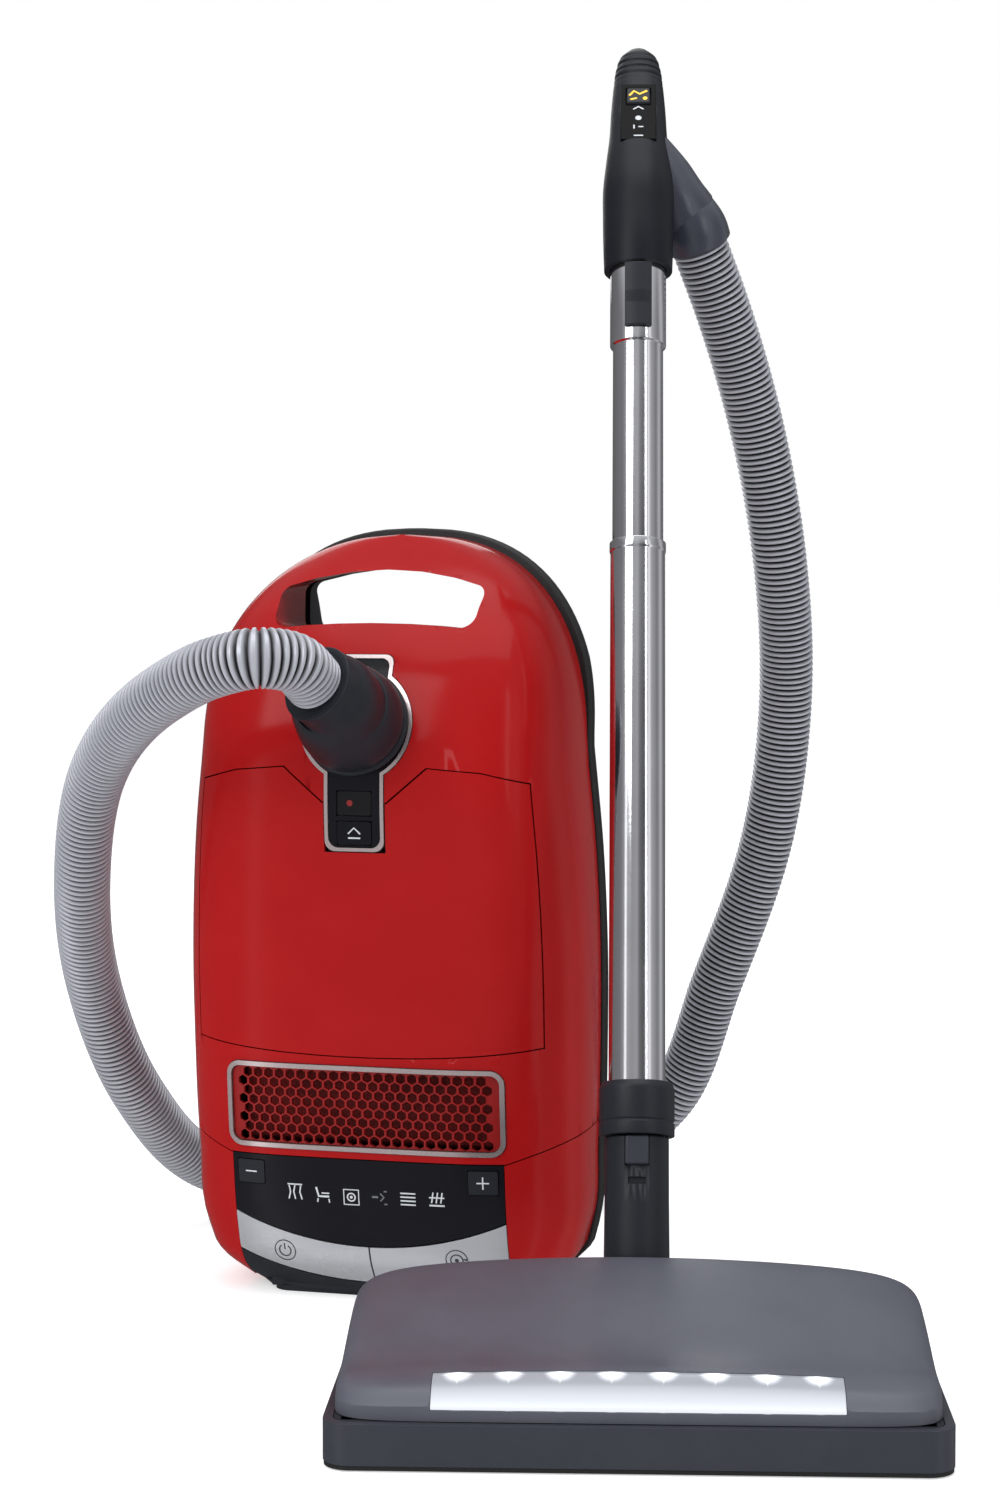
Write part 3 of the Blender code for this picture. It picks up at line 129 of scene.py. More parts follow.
HANDLE_SECTIONS = (
    (0.6860, 0.000, 0.0230, 0.0230), (0.700, 0.000, 0.0235, 0.0240), (0.725, 0.003, 0.0240, 0.0255),
    (0.748, 0.006, 0.0240, 0.0255), (0.768, 0.010, 0.0222, 0.0228), (0.790, 0.016, 0.0200, 0.0195),
    (0.815, 0.025, 0.0188, 0.0175), (0.838, 0.034, 0.0172, 0.0160), (0.855, 0.042, 0.0155, 0.0150),
    (0.866, 0.047, 0.0125, 0.0125), (0.873, 0.051, 0.0070, 0.0075),
)
PORT_CENTRE, PORT_WAY = Vector((0, 0.010, 0.774)), Vector((0.60, 0.47, -0.648))

HOSE_RADIUS, HOSE_GROOVE, HOSE_PITCH = 0.0195, 0.0168, 0.0043
# The height at which the hose's two lengths meet, and a share of the hose and a way, TURN_WAY.
# make_hose works out a start and a reach from them for the lower length, and leaves them unused.
HOSE_MEETS, TURN_START = 0.415, 0.62
TURN_WAY = Vector((3, 0, 1)).normalized()
HOSE_ROUTE = (
    (-0.0053, -0.1762, 0.4249), (-0.0125, -0.2000, 0.4387), (-0.0307, -0.2153, 0.4416),
    (-0.0566, -0.2119, 0.4367), (-0.1010, -0.1906, 0.4192), (-0.1744, -0.1296, 0.3620),
    (-0.2093, -0.0768, 0.2810), (-0.2258, -0.0191, 0.2030), (-0.2186, 0.0450, 0.1140),
    (-0.1937, 0.1241, 0.0460), (-0.1069, 0.2095, 0.0242), (0.0026, 0.2492, 0.0242),
    (0.0796, 0.2594, 0.0450), (0.1380, 0.2440, 0.0890), (0.1801, 0.2243, 0.1850),
    (0.2222, 0.2045, 0.3000), (0.2396, 0.1781, 0.4130), (0.2401, 0.1472, 0.5015),
    (0.2276, 0.1127, 0.6020), (0.2107, 0.0772, 0.6780), (0.1980, 0.0531, 0.7220),
)

work = bpy.data.collections.new("work")
bpy.context.scene.collection.children.link(work)


# Materials


def linear(colour):
    return tuple(c / 12.92 if c <= 0.04045 else ((c + 0.055) / 1.055) ** 2.4 for c in colour)


def fill(made, inputs):
    """Sets a node's inputs to values, or links them to other nodes' outputs."""
    for key, value in inputs.items():
        if isinstance(value, bpy.types.NodeSocket):
            made.id_data.links.new(value, made.inputs[key])
        else:
            made.inputs[key].default_value = value


def node(tree, kind, inputs, out=0, **settings):
    """An output of a new shader node with these inputs and settings."""
    made = tree.nodes.new("ShaderNode" + kind)
    for key, value in settings.items():
        setattr(made, key, value)
    fill(made, inputs)
    return made.outputs[out]


def calculate(tree, operation, *values):
    return node(tree, "Math", dict(enumerate(values)), operation=operation)


def between(tree, value, start, end, low, high, way="SMOOTHSTEP"):
    """The number from low to high where the value stands between start and end."""
    sizes = {"Value": value, "From Min": start, "From Max": end, "To Min": low, "To Max": high}
    return node(tree, "MapRange", sizes, interpolation_type=way)


def ramp(tree, value, stops):
    """The colour of a value among stops, each a place and its colour."""
    shades = node(tree, "ValToRGB", {"Fac": value})
    elements = shades.node.color_ramp.elements
    for place_at, _ in stops[1:-1]:
        elements.new(place_at)
    for element, (place_at, colour) in zip(elements, stops):
        element.position = place_at
        element.color = (*colour, 1)
    return shades


def shader_of(material):
    return material.node_tree.nodes["Principled BSDF"]


def surface(name, colour, roughness, metallic=0.0, coat=0.0, specular=0.5, grain=0.0, grain_scale=900.0,
            wave=0.0, wave_scale=60.0, variation=0.05, spread=0.05):
    """A Principled material with uneven colour and roughness, and a moulded or brushed surface."""
    made = bpy.data.materials.new(name)
    made.use_nodes = True
    tree = made.node_tree
    where = node(tree, "TexCoord", {}, "Object")
    cloud = node(tree, "TexNoise", {"Vector": where, "Scale": 22.0, "Detail": 4.0})
    base = linear(colour)
    darker = [c * (1 - variation) for c in base]
    lighter = [min(1.0, c * (1 + variation)) for c in base]
    rough = between(tree, cloud, 0.3, 0.7, max(0.02, roughness - spread), roughness + spread, "LINEAR")
    fill(shader_of(made), {
        "Base Color": ramp(tree, cloud, ((0.3, darker), (0.7, lighter))), "Roughness": rough,
        "Metallic": metallic, "Coat Weight": coat, "Coat Roughness": 0.04, "Specular IOR Level": specular,
    })
    if grain:
        fine = node(tree, "TexNoise", {"Vector": where, "Scale": grain_scale, "Detail": 3.0})
        bump = {"Strength": grain, "Distance": 0.0004, "Height": fine}
        if wave:
            swell = node(tree, "TexNoise", {"Vector": where, "Scale": wave_scale})
            bump["Normal"] = node(tree, "Bump", {"Strength": wave, "Distance": 0.001, "Height": swell})
        fill(shader_of(made), {"Normal": node(tree, "Bump", bump)})
    return made


def ribbed(name):
    """The hose's grey, with painted shade that makes it dark in the grooves between the ribs and light on their
    crests.
    """
    made = surface(name, (0.7, 0.7, 0.73), 0.36, metallic=0.25, grain=0.12, grain_scale=1400)
    tree, shader = made.node_tree, shader_of(made)
    dark, light = [linear((level, level * 1.01, level * 1.05)) for level in (0.13, 0.74)]
    # Painted shade: the rib attribute darkens the grey down in the grooves.
    rib = node(tree, "Attribute", {}, "Fac", attribute_name="rib")
    cloudy = shader.inputs["Base Color"].links[0].from_socket
    colours = {"Factor": 0.25, "A": ramp(tree, rib, ((0.12, dark), (0.75, light))), "B": cloudy}
    mixed = node(tree, "Mix", colours, "Result", data_type="RGBA", blend_type="MULTIPLY")
    fill(shader, {"Base Color": mixed})
    return made


def lit_lens():
    """The lamp strip's diffuser, bright low down and before each lamp, with a faint painted star glint there.

    The strip's UV map counts the lamps in X and rises from 0 at the strip's foot in Y.
    """
    made = surface("lamp_lens", (0.42, 0.44, 0.48), 0.15, variation=0.01, specular=0.2)
    tree = made.node_tree
    along, height, _ = node(tree, "SeparateXYZ", {"Vector": node(tree, "UVMap", {})}).node.outputs
    aside = calculate(tree, "PINGPONG", along, 0.5)
    above = calculate(tree, "SUBTRACT", height, 0.86)
    offset = node(tree, "CombineXYZ", {"X": aside, "Y": above})
    distance = node(tree, "VectorMath", {0: offset}, "Value", operation="LENGTH")
    # Painted glint: thin star arms about each lamp, added to the lens's glow.
    cross = calculate(tree, "ABSOLUTE", calculate(tree, "MULTIPLY", aside, above))
    near = between(tree, distance, 0.05, 0.36, 1.0, 0.0, "LINEAR")
    painted_star_glint = calculate(tree, "MULTIPLY", between(tree, cross, 0.0, 0.010, 0.9, 0.0), near)
    glow = between(tree, distance, 0.04, 0.34, 1.5, 0.28)
    foot = between(tree, height, 0.0, 0.62, 0.60, 0.0)
    light = calculate(tree, "ADD", calculate(tree, "ADD", glow, foot), painted_star_glint)
    fill(shader_of(made), {"Emission Color": (0.93, 0.96, 1.0, 1), "Emission Strength": light})
    return made


def glowing(name, colour, strength):
    made = surface(name, colour, 0.3)
    fill(shader_of(made), {"Emission Color": (*linear(colour), 1), "Emission Strength": strength})
    return made


MATERIALS = {
    "red_casing": surface("red_casing", (0.635, 0.092, 0.097), 0.15, grain=0.05, grain_scale=420, wave=0.04,
                          wave_scale=30, variation=0.035, spread=0.03, specular=0.10),
    "grille_red": surface("grille_red", (0.55, 0.10, 0.10), 0.32, grain=0.15, specular=0.2),
    "dark_plastic": surface("dark_plastic", (0.135, 0.145, 0.170), 0.40, grain=0.3, grain_scale=1500,
                            specular=0.22),
    "head_plastic": surface("head_plastic", (0.325, 0.335, 0.375), 0.36, grain=0.3, grain_scale=1300,
                            specular=0.40),
    "control_black": surface("control_black", (0.085, 0.085, 0.105), 0.2, grain=0.05, specular=0.15),
    "silver_plastic": surface("silver_plastic", (0.77, 0.78, 0.80), 0.30, metallic=0.55, grain=0.12,
                              grain_scale=2400, variation=0.03),
    "chrome_tube": surface("chrome_tube", (0.84, 0.84, 0.86), 0.13, metallic=1.0, grain=0.05, grain_scale=260,
                           variation=0.03, spread=0.04),
    "hose_grey": ribbed("hose_grey"),
    "rubber": surface("rubber", (0.085, 0.088, 0.095), 0.62, grain=0.5, grain_scale=1800),
    "filter_carbon": surface("filter_carbon", (0.42, 0.09, 0.085), 0.95, grain=1.0, grain_scale=700,
                             variation=0.3),
    "bag_cloth": surface("bag_cloth", (0.85, 0.83, 0.78), 0.95, grain=0.9, grain_scale=500, variation=0.08),
    "lamp_lens": lit_lens(),
    "board_green": surface("board_green", (0.08, 0.30, 0.17), 0.45, coat=0.3, grain=0.3, grain_scale=600,
                           variation=0.25),
    "bristle": surface("bristle", (0.12, 0.12, 0.13), 0.8, grain=1.0, grain_scale=1200, variation=0.3),
    "steel": surface("steel", (0.58, 0.59, 0.61), 0.3, metallic=1.0, grain=0.25, grain_scale=700),
    "indicator": surface("indicator", (0.07, 0.07, 0.08), 0.16, grain=0.05, specular=0.3),
}
PRINT_LIGHT = surface("print_light", (0.80, 0.82, 0.84), 0.45, variation=0.03)
PRINT_DIM = surface("print_dim", (0.42, 0.44, 0.46), 0.45, variation=0.05)
PRINT_DARK = surface("print_dark", (0.20, 0.21, 0.23), 0.5, variation=0.03)
# The yellow print glows with painted light, though it is no lamp.
PRINT_YELLOW_PAINTED_GLOW = glowing("print_yellow_painted_glow", (0.96, 0.76, 0.10), 0.35)
LAMP_RED = glowing("lamp_red", (0.50, 0.08, 0.08), 0.15)
LAMP_WHITE = glowing("lamp_white", (0.97, 0.98, 1.0), 5.0)
TRIM_EDGE = surface("trim_edge", (0.80, 0.74, 0.74), 0.22, metallic=0.75, coat=0.3, grain=0.05)
BAND = surface("band_plastic", (0.205, 0.215, 0.25), 0.38, grain=0.3, grain_scale=1400, specular=0.3)
ELBOW = surface("elbow_plastic", (0.21, 0.225, 0.27), 0.26, grain=0.15, grain_scale=1400, specular=0.6)
HANDLE = surface("handle_plastic", (0.09, 0.096, 0.12), 0.38, grain=0.3, grain_scale=1500, specular=0.15)
PANEL_BLACK = surface("panel_black", (0.03, 0.03, 0.04), 0.2, grain=0.04, specular=0.06)


# Curves and outlines, as in the frame but finer


def smooth_through(points):
    """A function with a smooth cubic between each two of the points."""
    xs, ys = np.array(points).T
    slopes = np.gradient(ys, xs)

    def value(x):
        i = int(np.clip(np.searchsorted(xs, x) - 1, 0, len(xs) - 2))
        step = xs[i + 1] - xs[i]
        t = min(max((x - xs[i]) / step, 0.0), 1.0)
        low = ys[i] * (1 + 2 * t) + step * slopes[i] * t
        high = ys[i + 1] * (3 - 2 * t) + step * slopes[i + 1] * (t - 1)
        return float(low * (1 - t) ** 2 + high * t * t)

    return value


def smooth_route(route, spacing):
    """Points this far apart along a smooth curve through the route's points."""
    route = np.array(route)
    gaps = np.linalg.norm(np.diff(route, axis=0), axis=1)
    along = np.concatenate([[0], np.cumsum(gaps)])
    ways = [smooth_through(list(zip(along, route[:, k]))) for k in range(3)]
    fine = np.array([[way(s) for way in ways] for s in np.linspace(0, along[-1], 40 * len(route))])
    length = np.concatenate([[0], np.cumsum(np.linalg.norm(np.diff(fine, axis=0), axis=1))])
    even = np.linspace(0, length[-1], round(length[-1] / spacing) + 1)
    return [Vector([np.interp(s, length, fine[:, k]) for k in range(3)]) for s in even]


case_side = smooth_through(HALF_WIDTHS)
front_line = smooth_through(FRONT_LINE)


def half_width(z, grow=0.0):
    if z <= ARCH_Z:
        return case_side(z) + grow
    rise = min((z - ARCH_Z) / (ARCH_RISE + grow), 1.0)
    return (ARCH_HALF_WIDTH + grow) * (1 - rise**ARCH_ROUNDNESS) ** (1 / ARCH_ROUNDNESS)


def bend(z):
    return -HANDLE_BEND * max(0.0, (z - HANDLE_BEND_Z) / (CASE_TOP - HANDLE_BEND_Z)) ** 2


def case_front(x, z):
    """Where the casing's front stands at this place."""
    across = min(abs(x) / max((1 + FLARE) * half_width(z), 1e-6), 0.995)
    bulge = (1 - across**ROUNDNESS) ** (1 / ROUNDNESS)
    return SPLIT_Y + bend(z) - (SPLIT_Y - front_line(z)) * bulge


def case_heights(low, high, grow=0.0):
    sides = [0.009, 0.012, 0.016, 0.02, 0.025] + [0.03 + 0.0115 * k for k in range(31)]
    sides = [z for z in sides if z < ARCH_Z]
    arch = [ARCH_Z + (ARCH_RISE + grow) * math.sin(math.radians(a)) for a in range(3, 87, 3)]
    return [low] + [z for z in sides + arch if low + 0.0008 < z < high - 0.0008] + [high]


def silhouette(grow, high=1.0):
    """The casing's outline from the front, grown by this much and cut off at this height."""
    share = (ARCH_Z - CASE_BOTTOM + grow) / (ARCH_Z - CASE_BOTTOM)
    rise = ARCH_RISE + grow
    heights = [ARCH_Z - share * (ARCH_Z - z) for z in case_heights(CASE_BOTTOM, ARCH_Z)]
    heights += [ARCH_Z + rise * math.sin(math.radians(a)) for a in range(3, 90, 3)]
    top = min(high, ARCH_Z + rise * 0.9998)
    heights = [z for z in heights if z < top - 0.0004] + [top]
    return mirrored([(half_width(z, grow), z) for z in heights])


def mirrored(right):
    """A closed outline from its right half."""
    return right + [(-x, z) for x, z in reversed(right)]


def rounded(corners, radius, steps=8):
    """The outline through the corners, each turned into an arc."""
    loop = []
    for i, corner in enumerate(corners):
        corner = Vector(corner)
        back = Vector(corners[i - 1]) - corner
        ahead = Vector(corners[(i + 1) % len(corners)]) - corner
        half = back.angle(ahead) / 2
        reach = min(radius / math.tan(half), 0.49 * back.length, 0.49 * ahead.length)
        arc = reach * math.tan(half)
        middle = corner + (back.normalized() + ahead.normalized()).normalized() * arc / math.sin(half)
        first = corner + back.normalized() * reach - middle
        last = corner + ahead.normalized() * reach - middle
        sweep = math.atan2(first.x * last.y - first.y * last.x, first.dot(last))
        for k in range(steps + 1):
            turned_by = first.copy()
            turned_by.rotate(Matrix.Rotation(sweep * k / steps, 2))
            loop.append(tuple(middle + turned_by))
    return loop


def circle(x, y, radius, steps=48, start=0.0):
    return [(x + radius * math.cos(start + TAU * k / steps), y + radius * math.sin(start + TAU * k / steps))
            for k in range(steps)]


def rectangle(x0, y0, x1, y1):
    return [(x0, y0), (x1, y0), (x1, y1), (x0, y1)]


def bowed(half, low, rise):
    xs = [half * (k / 16 - 1) for k in range(33)]
    return [(x, low + rise * (x / half) ** 2) for x in xs]


# Making pieces


def add_mesh(bm, name, sharp=35):
    bmesh.ops.recalc_face_normals(bm, faces=bm.faces)
    mesh = bpy.data.meshes.new(name)
    bm.to_mesh(mesh)
    bm.free()
    mesh.shade_smooth()
    mesh.set_sharp_from_angle(angle=math.radians(sharp))
    obj = bpy.data.objects.new(name, mesh)
    work.objects.link(obj)
    return obj


def cut(obj, *tools, operation="DIFFERENCE"):
    """Applies a Boolean with each tool, and removes the tools."""
    for tool in tools:
        boolean = obj.modifiers.new("cut", "BOOLEAN")
        boolean.object = tool
        boolean.operation = operation
        boolean.solver = "EXACT"
        apply_modifiers(obj)
    for tool in tools:
        bpy.data.objects.remove(tool)
    return obj


def apply_modifiers(obj):
    bpy.context.view_layer.update()
    solid = obj.evaluated_get(bpy.context.evaluated_depsgraph_get())
    mesh = bpy.data.meshes.new_from_object(solid)
    obj.modifiers.clear()
    obj.data = mesh
    return obj


def soften(obj, width, segments=2):
    """Rounds the sharp edges, and gives the faces even normals."""
    bevel = obj.modifiers.new("edges", "BEVEL")
    bevel.width = width
    bevel.segments = segments
    bevel.limit_method = "ANGLE"
    bevel.angle_limit = math.radians(50)
    bevel.harden_normals = False
    even = obj.modifiers.new("normals", "WEIGHTED_NORMAL")
    even.keep_sharp = True
    even.weight = 60
    apply_modifiers(obj)
    return obj


def place(obj, matrix):
    obj.data.transform(matrix)
    return obj


def wear(obj, material):
    obj.data.materials.clear()
    obj.data.materials.append(material)


def dress(obj, node=None, *more, body=None, slot=None, material=None):
    """The piece stands for a CAD node, or rides on a body with a slot of its own."""
    if node:
        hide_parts(node, *more)
        body = body or BODY_OF[node]
        slot = slot or SLOT_OF[node]
    if obj.parent is None and body:
        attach(obj, body)
    wear(obj, material or MATERIALS[slot])
    return obj


def box_tool(low, high):
    bm = bmesh.new()
    bmesh.ops.create_cube(bm, size=1)
    bmesh.ops.scale(bm, vec=Vector(high) - Vector(low), verts=bm.verts)
    bmesh.ops.translate(bm, vec=(Vector(low) + Vector(high)) / 2, verts=bm.verts)
    return add_mesh(bm, "box_tool")


def turn_to(way):
    """The rotation that turns Z to this way."""
    return Vector((0, 0, 1)).rotation_difference(way).to_matrix().to_4x4()


def rod_between(name, start, end, radius):
    way = Vector(end) - Vector(start)
    bm = bmesh.new()
    bmesh.ops.create_cone(bm, cap_ends=True, segments=48, radius1=radius, radius2=radius, depth=way.length)
    middle = (Vector(start) + Vector(end)) / 2
    bmesh.ops.transform(bm, matrix=Matrix.Translation(middle) @ turn_to(way), verts=bm.verts)
    return add_mesh(bm, name)


def outline_mesh(loops, thickness):
    """A bmesh of flat outlines, the inner ones holes, lying in XY and centred on it in thickness."""
    curve = bpy.data.curves.new("outline", "CURVE")
    curve.dimensions = "2D"
    curve.fill_mode = "BOTH"
    curve.extrude = thickness / 2
    for loop in loops:
        spline = curve.splines.new("POLY")
        spline.points.add(len(loop) - 1)
        for point, (x, y) in zip(spline.points, loop):
            point.co = (x, y, 0, 1)
        spline.use_cyclic_u = True
    guide = bpy.data.objects.new("outline", curve)
    work.objects.link(guide)
    bpy.context.view_layer.update()
    mesh = bpy.data.meshes.new_from_object(guide.evaluated_get(bpy.context.evaluated_depsgraph_get()))
    bpy.data.objects.remove(guide)
    bm = bmesh.new()
    bm.from_mesh(mesh)
    bpy.data.meshes.remove(mesh)
    bmesh.ops.remove_doubles(bm, verts=bm.verts, dist=1e-6)
    return bm


def facing(y, z=0.0):
    """The matrix that turns a flat outline's XY to face the front at this place."""
    return Matrix(((1, 0, 0, 0), (0, 0, -1, y), (0, 1, 0, z), (0, 0, 0, 1)))


def upright(bm, near, far):
    bmesh.ops.transform(bm, matrix=facing((near + far) / 2), verts=bm.verts)
    return bm


def front_tool(loops, near=-0.2, far=-0.02):
    return add_mesh(upright(outline_mesh(loops, far - near), near, far), "front_tool")


def slab(name, loops, low, high):
    bm = outline_mesh(loops, high - low)
    bmesh.ops.translate(bm, vec=(0, 0, (low + high) / 2), verts=bm.verts)
    return add_mesh(bm, name)


def front_panel(name, loops, proud=0.0, depth=0.003, spacing=0.006, edge=0.0006):
    """A plate with this outline that follows the casing's front."""
    bm = upright(outline_mesh(loops, depth + proud), -proud, depth)
    if spacing:
        for axis in (0, 2):
            places = [v.co[axis] for v in bm.verts]
            for k in range(math.ceil(min(places) / spacing), math.floor(max(places) / spacing) + 1):
                point, normal = Vector(), Vector()
                point[axis], normal[axis] = k * spacing + 1e-5, 1.0
                every = bm.verts[:] + bm.edges[:] + bm.faces[:]
                bmesh.ops.bisect_plane(bm, geom=every, plane_co=point, plane_no=normal, dist=1e-6)
    for v in bm.verts:
        v.co.y += case_front(v.co.x, v.co.z)
    bmesh.ops.triangulate(bm, faces=[f for f in bm.faces if len(f.verts) > 4])
    obj = add_mesh(bm, name)
    return soften(obj, edge) if edge else obj


def loft(name, rings, level=False):
    """A closed solid over rings that have the same number of points."""
    bm = bmesh.new()
    rows = [[bm.verts.new(p) for p in ring] for ring in rings]
    for lower, upper in zip(rows, rows[1:]):
        for i in range(len(lower)):
            j = (i + 1) % len(lower)
            bm.faces.new((lower[i], lower[j], upper[j], upper[i]))
    for row in (rows[0], rows[-1]):
        if level:
            for i in range(len(row) // 2 - 1):
                bm.faces.new((row[i], row[i + 1], row[-2 - i], row[-1 - i]))
        else:
            bm.faces.new(row)
    return add_mesh(bm, name)


def turned(name, profile, steps=64):
    """A solid of revolution about Z over a closed profile, or one that starts and ends on the axis."""
    bm = bmesh.new()
    rows = []
    for radius, z in profile:
        if radius < 1e-7:
            rows.append([bm.verts.new((0, 0, z))] * steps)
        else:
            rows.append([bm.verts.new((x, y, z)) for x, y in circle(0, 0, radius, steps)])
    closed = profile[0][0] > 1e-7
    pairs = list(zip(rows, rows[1:])) + ([(rows[-1], rows[0])] if closed else [])
    for one, two in pairs:
        for k in range(steps):
            j = (k + 1) % steps
            corners = []
            for v in (one[k], one[j], two[j], two[k]):
                if v not in corners:
                    corners.append(v)
            if len(corners) > 2:
                bm.faces.new(corners)
    return add_mesh(bm, name)


def eased(points, radius=0.0008, steps=3):
    """The profile with its corners turned into small arcs. It keeps points on the axis."""
    out = []
    for i, p in enumerate(points):
        if p[0] < 1e-7:
            out.append(p)
            continue
        p, back, ahead = Vector(p), Vector(points[i - 1]), Vector(points[(i + 1) % len(points)])
        b, a = back - p, ahead - p
        reach = min(radius, 0.45 * b.length, 0.45 * a.length)
        start, end = p + b.normalized() * reach, p + a.normalized() * reach
        for k in range(steps + 1):
            t = k / steps
            out.append(tuple(start * (1 - t) ** 2 + p * 2 * t * (1 - t) + end * t * t))
    return out


def tube_rings(route, radii, sides):
    """Rings of points square to the route, with a radius at each of its points."""
    rings = []
    side = Vector((1, 0, 0))
    for i, (point, radius) in enumerate(zip(route, radii)):
        way = (route[min(i + 1, len(route) - 1)] - route[max(i - 1, 0)]).normalized()
        side = (side - side.dot(way) * way).normalized()
        other = way.cross(side)
        rings.append([point + radius * (math.cos(TAU * k / sides) * side + math.sin(TAU * k / sides) * other)
                      for k in range(sides)])
    return rings


def smooth_tube(name, route, radii, spacing=0.002):
    """A tube along a smooth curve through the route, with radii that change smoothly."""
    points = smooth_route(route, spacing)
    gaps = np.linalg.norm(np.diff(np.array(route), axis=0), axis=1)
    share = np.concatenate([[0], np.cumsum(gaps)]) / sum(gaps)
    radius = smooth_through(list(zip(share, radii)))
    return loft(name, tube_rings(points, [radius(k / (len(points) - 1)) for k in range(len(points))], 64))


# Canister casing


def case_solid(name, inset, low, high, back):
    """The casing's form, smaller by the inset and reaching back this far behind the split."""
    rings = []
    steps = 72
    for z in case_heights(low, high, -inset):
        width = half_width(z, -inset)
        depth = SPLIT_Y - front_line(z) - inset
        ring = []
        for k in range(steps + 1):
            a = math.pi * k / steps
            reach = (abs(math.cos(a)) ** ROUNDNESS + abs(math.sin(a)) ** ROUNDNESS) ** (-1 / ROUNDNESS)
            wide = width * (1 + FLARE * min(1.0, 2 * math.sin(a)))
            ring.append((wide * reach * math.cos(a), SPLIT_Y + bend(z) - depth * reach * math.sin(a), z))
        if back:
            ring += [(-width, SPLIT_Y + back, z), (width, SPLIT_Y + back, z)]
        rings.append(ring)
    return loft(name, rings)


def handle_opening(grow=0.0):
    half = OPENING_HALF_WIDTH + grow
    shares = [k / 3 - 1 for k in range(7)]
    top = [(half * t, OPENING_HIGH + 0.3 * grow - 0.012 * t**2) for t in shares]
    low = [(-half * t, OPENING_LOW - 0.5 * grow + 0.004 * (1 - t**2)) for t in shares]
    return rounded(top + low, 0.009)


def opening_tool():
    """The carry opening widens towards the back."""
    rings = []
    for y, grow in ((-0.2, 0.0), (-0.085, 0.0), (-0.06, 0.001), (0.045, 0.012), (0.2, 0.012)):
        rings.append([(x, y, z) for x, z in handle_opening(grow)])
    return loft("opening_tool", rings)


def lid_outline(grow=0.0):
    half = LID_SHARE * half_width(0.2) + grow
    low = bowed(half, LID_LOW - grow, LID_LOW_RISE)
    right = [(LID_SHARE * half_width(z) + grow, z) for z in (0.19, 0.21, 0.23, 0.25, 0.27, 0.29, 0.31, 0.33)]
    right += [(LID_SHARE * half_width(0.356) + grow, 0.356 + grow), (0.085, 0.3635 + grow)]
    right += [(0.050 - grow, 0.3665 + grow), (0.0225 - grow, 0.343 + grow)]
    if not grow:
        notch = LATCH_HALF_WIDTH + 2 * FIT
        right += [(notch, 0.343), (notch, LATCH_LOW - 2 * FIT)]
    return low + mirrored(right)


def socket_outline(inset):
    """The outline of the hose socket's surround: a plate above, a circle, and the latch frame below."""
    radius = TRIM_RADIUS - inset
    above, below = PLATE_HALF_WIDTH - inset, LATCH_HALF_WIDTH - inset
    start, end = math.acos(above / radius), -math.acos(below / radius)
    arc = [start + (end - start) * k / 40 for k in range(41)]
    side = rounded([(0.0, PLATE_TOP - inset), (above, PLATE_TOP - inset), (above, SOCKET_Z)], 0.006)[9:18]
    side += [(radius * math.cos(a), SOCKET_Z + radius * math.sin(a)) for a in arc]
    side += rounded([(below, SOCKET_Z), (below, LATCH_LOW + inset), (0, LATCH_LOW + inset)], 0.007)[9:18]
    return mirrored(side)


def grille_outline(inset):
    x, low, high = GRILLE_HALF_WIDTH - inset, GRILLE_LOW + inset, GRILLE_HIGH - inset
    return rounded(rectangle(-x, low, x, high), 0.010 - inset)


def panel_outline():
    half = PANEL_HALF_WIDTH
    return bowed(half, PANEL_LOW, PANEL_LOW_RISE) + [(half, PANEL_HIGH), (-half, PANEL_HIGH)]


def end_seam(grow):
    inner, outer, level = PANEL_HALF_WIDTH + 0.0015, 0.2, PANEL_HIGH + 0.0003 + grow
    rise = 0.35 * (outer - inner)
    return [(-outer, -0.05), (outer, -0.05), (outer, level + rise), (inner, level), (-inner, level),
            (-outer, level + rise)]


def make_casing():
    half, top = PANEL_HALF_WIDTH + FIT, PANEL_HIGH + FIT
    end_window = [(-half, -0.02), (half, -0.02), (half, top), (-half, top)]
    upper = case_solid("upper_shell_visual", 0, CASE_BOTTOM, ARCH_Z + ARCH_RISE * 0.9998, 0)
    hollow = case_solid("hollow", WALL, CASE_BOTTOM + WALL, HOLLOW_TOP, 0.01)
    cut(upper, hollow, opening_tool(), front_tool([lid_outline(2 * FIT)]),
        front_tool([socket_outline(-FIT)]), front_tool([grille_outline(-FIT)]),
        front_tool([end_seam(FIT)], -0.2, 0.2))
    dress(soften(upper, 0.0009, 3), "upper_shell")
    rear = case_solid("rear_cap_visual", 0, CASE_BOTTOM, ARCH_Z, 0)
    hollow = case_solid("hollow", WALL, CASE_BOTTOM + WALL, HOLLOW_TOP, 0.01)
    above = front_tool([end_seam(-FIT)[2:] + [(-0.2, 0.6), (0.2, 0.6)]], -0.2, 0.2)
    cut(rear, hollow, front_tool([end_window]), above)
    dress(soften(rear, 0.0008, 3), "rear_cap")
    front_plate("dust_lid", [lid_outline()], edge=0.0008)


def limited(value):
    return min(1.0, max(0.0, value))


def chassis_ring(y, grow):
    ring = []
    for x, z in silhouette(grow):
        share = 1 - 0.6 * limited((z - HOLLOW_TOP - 0.004) / 0.05)
        ring.append((x, CHASSIS_Y + bend(z) + y * share, z))
    return ring


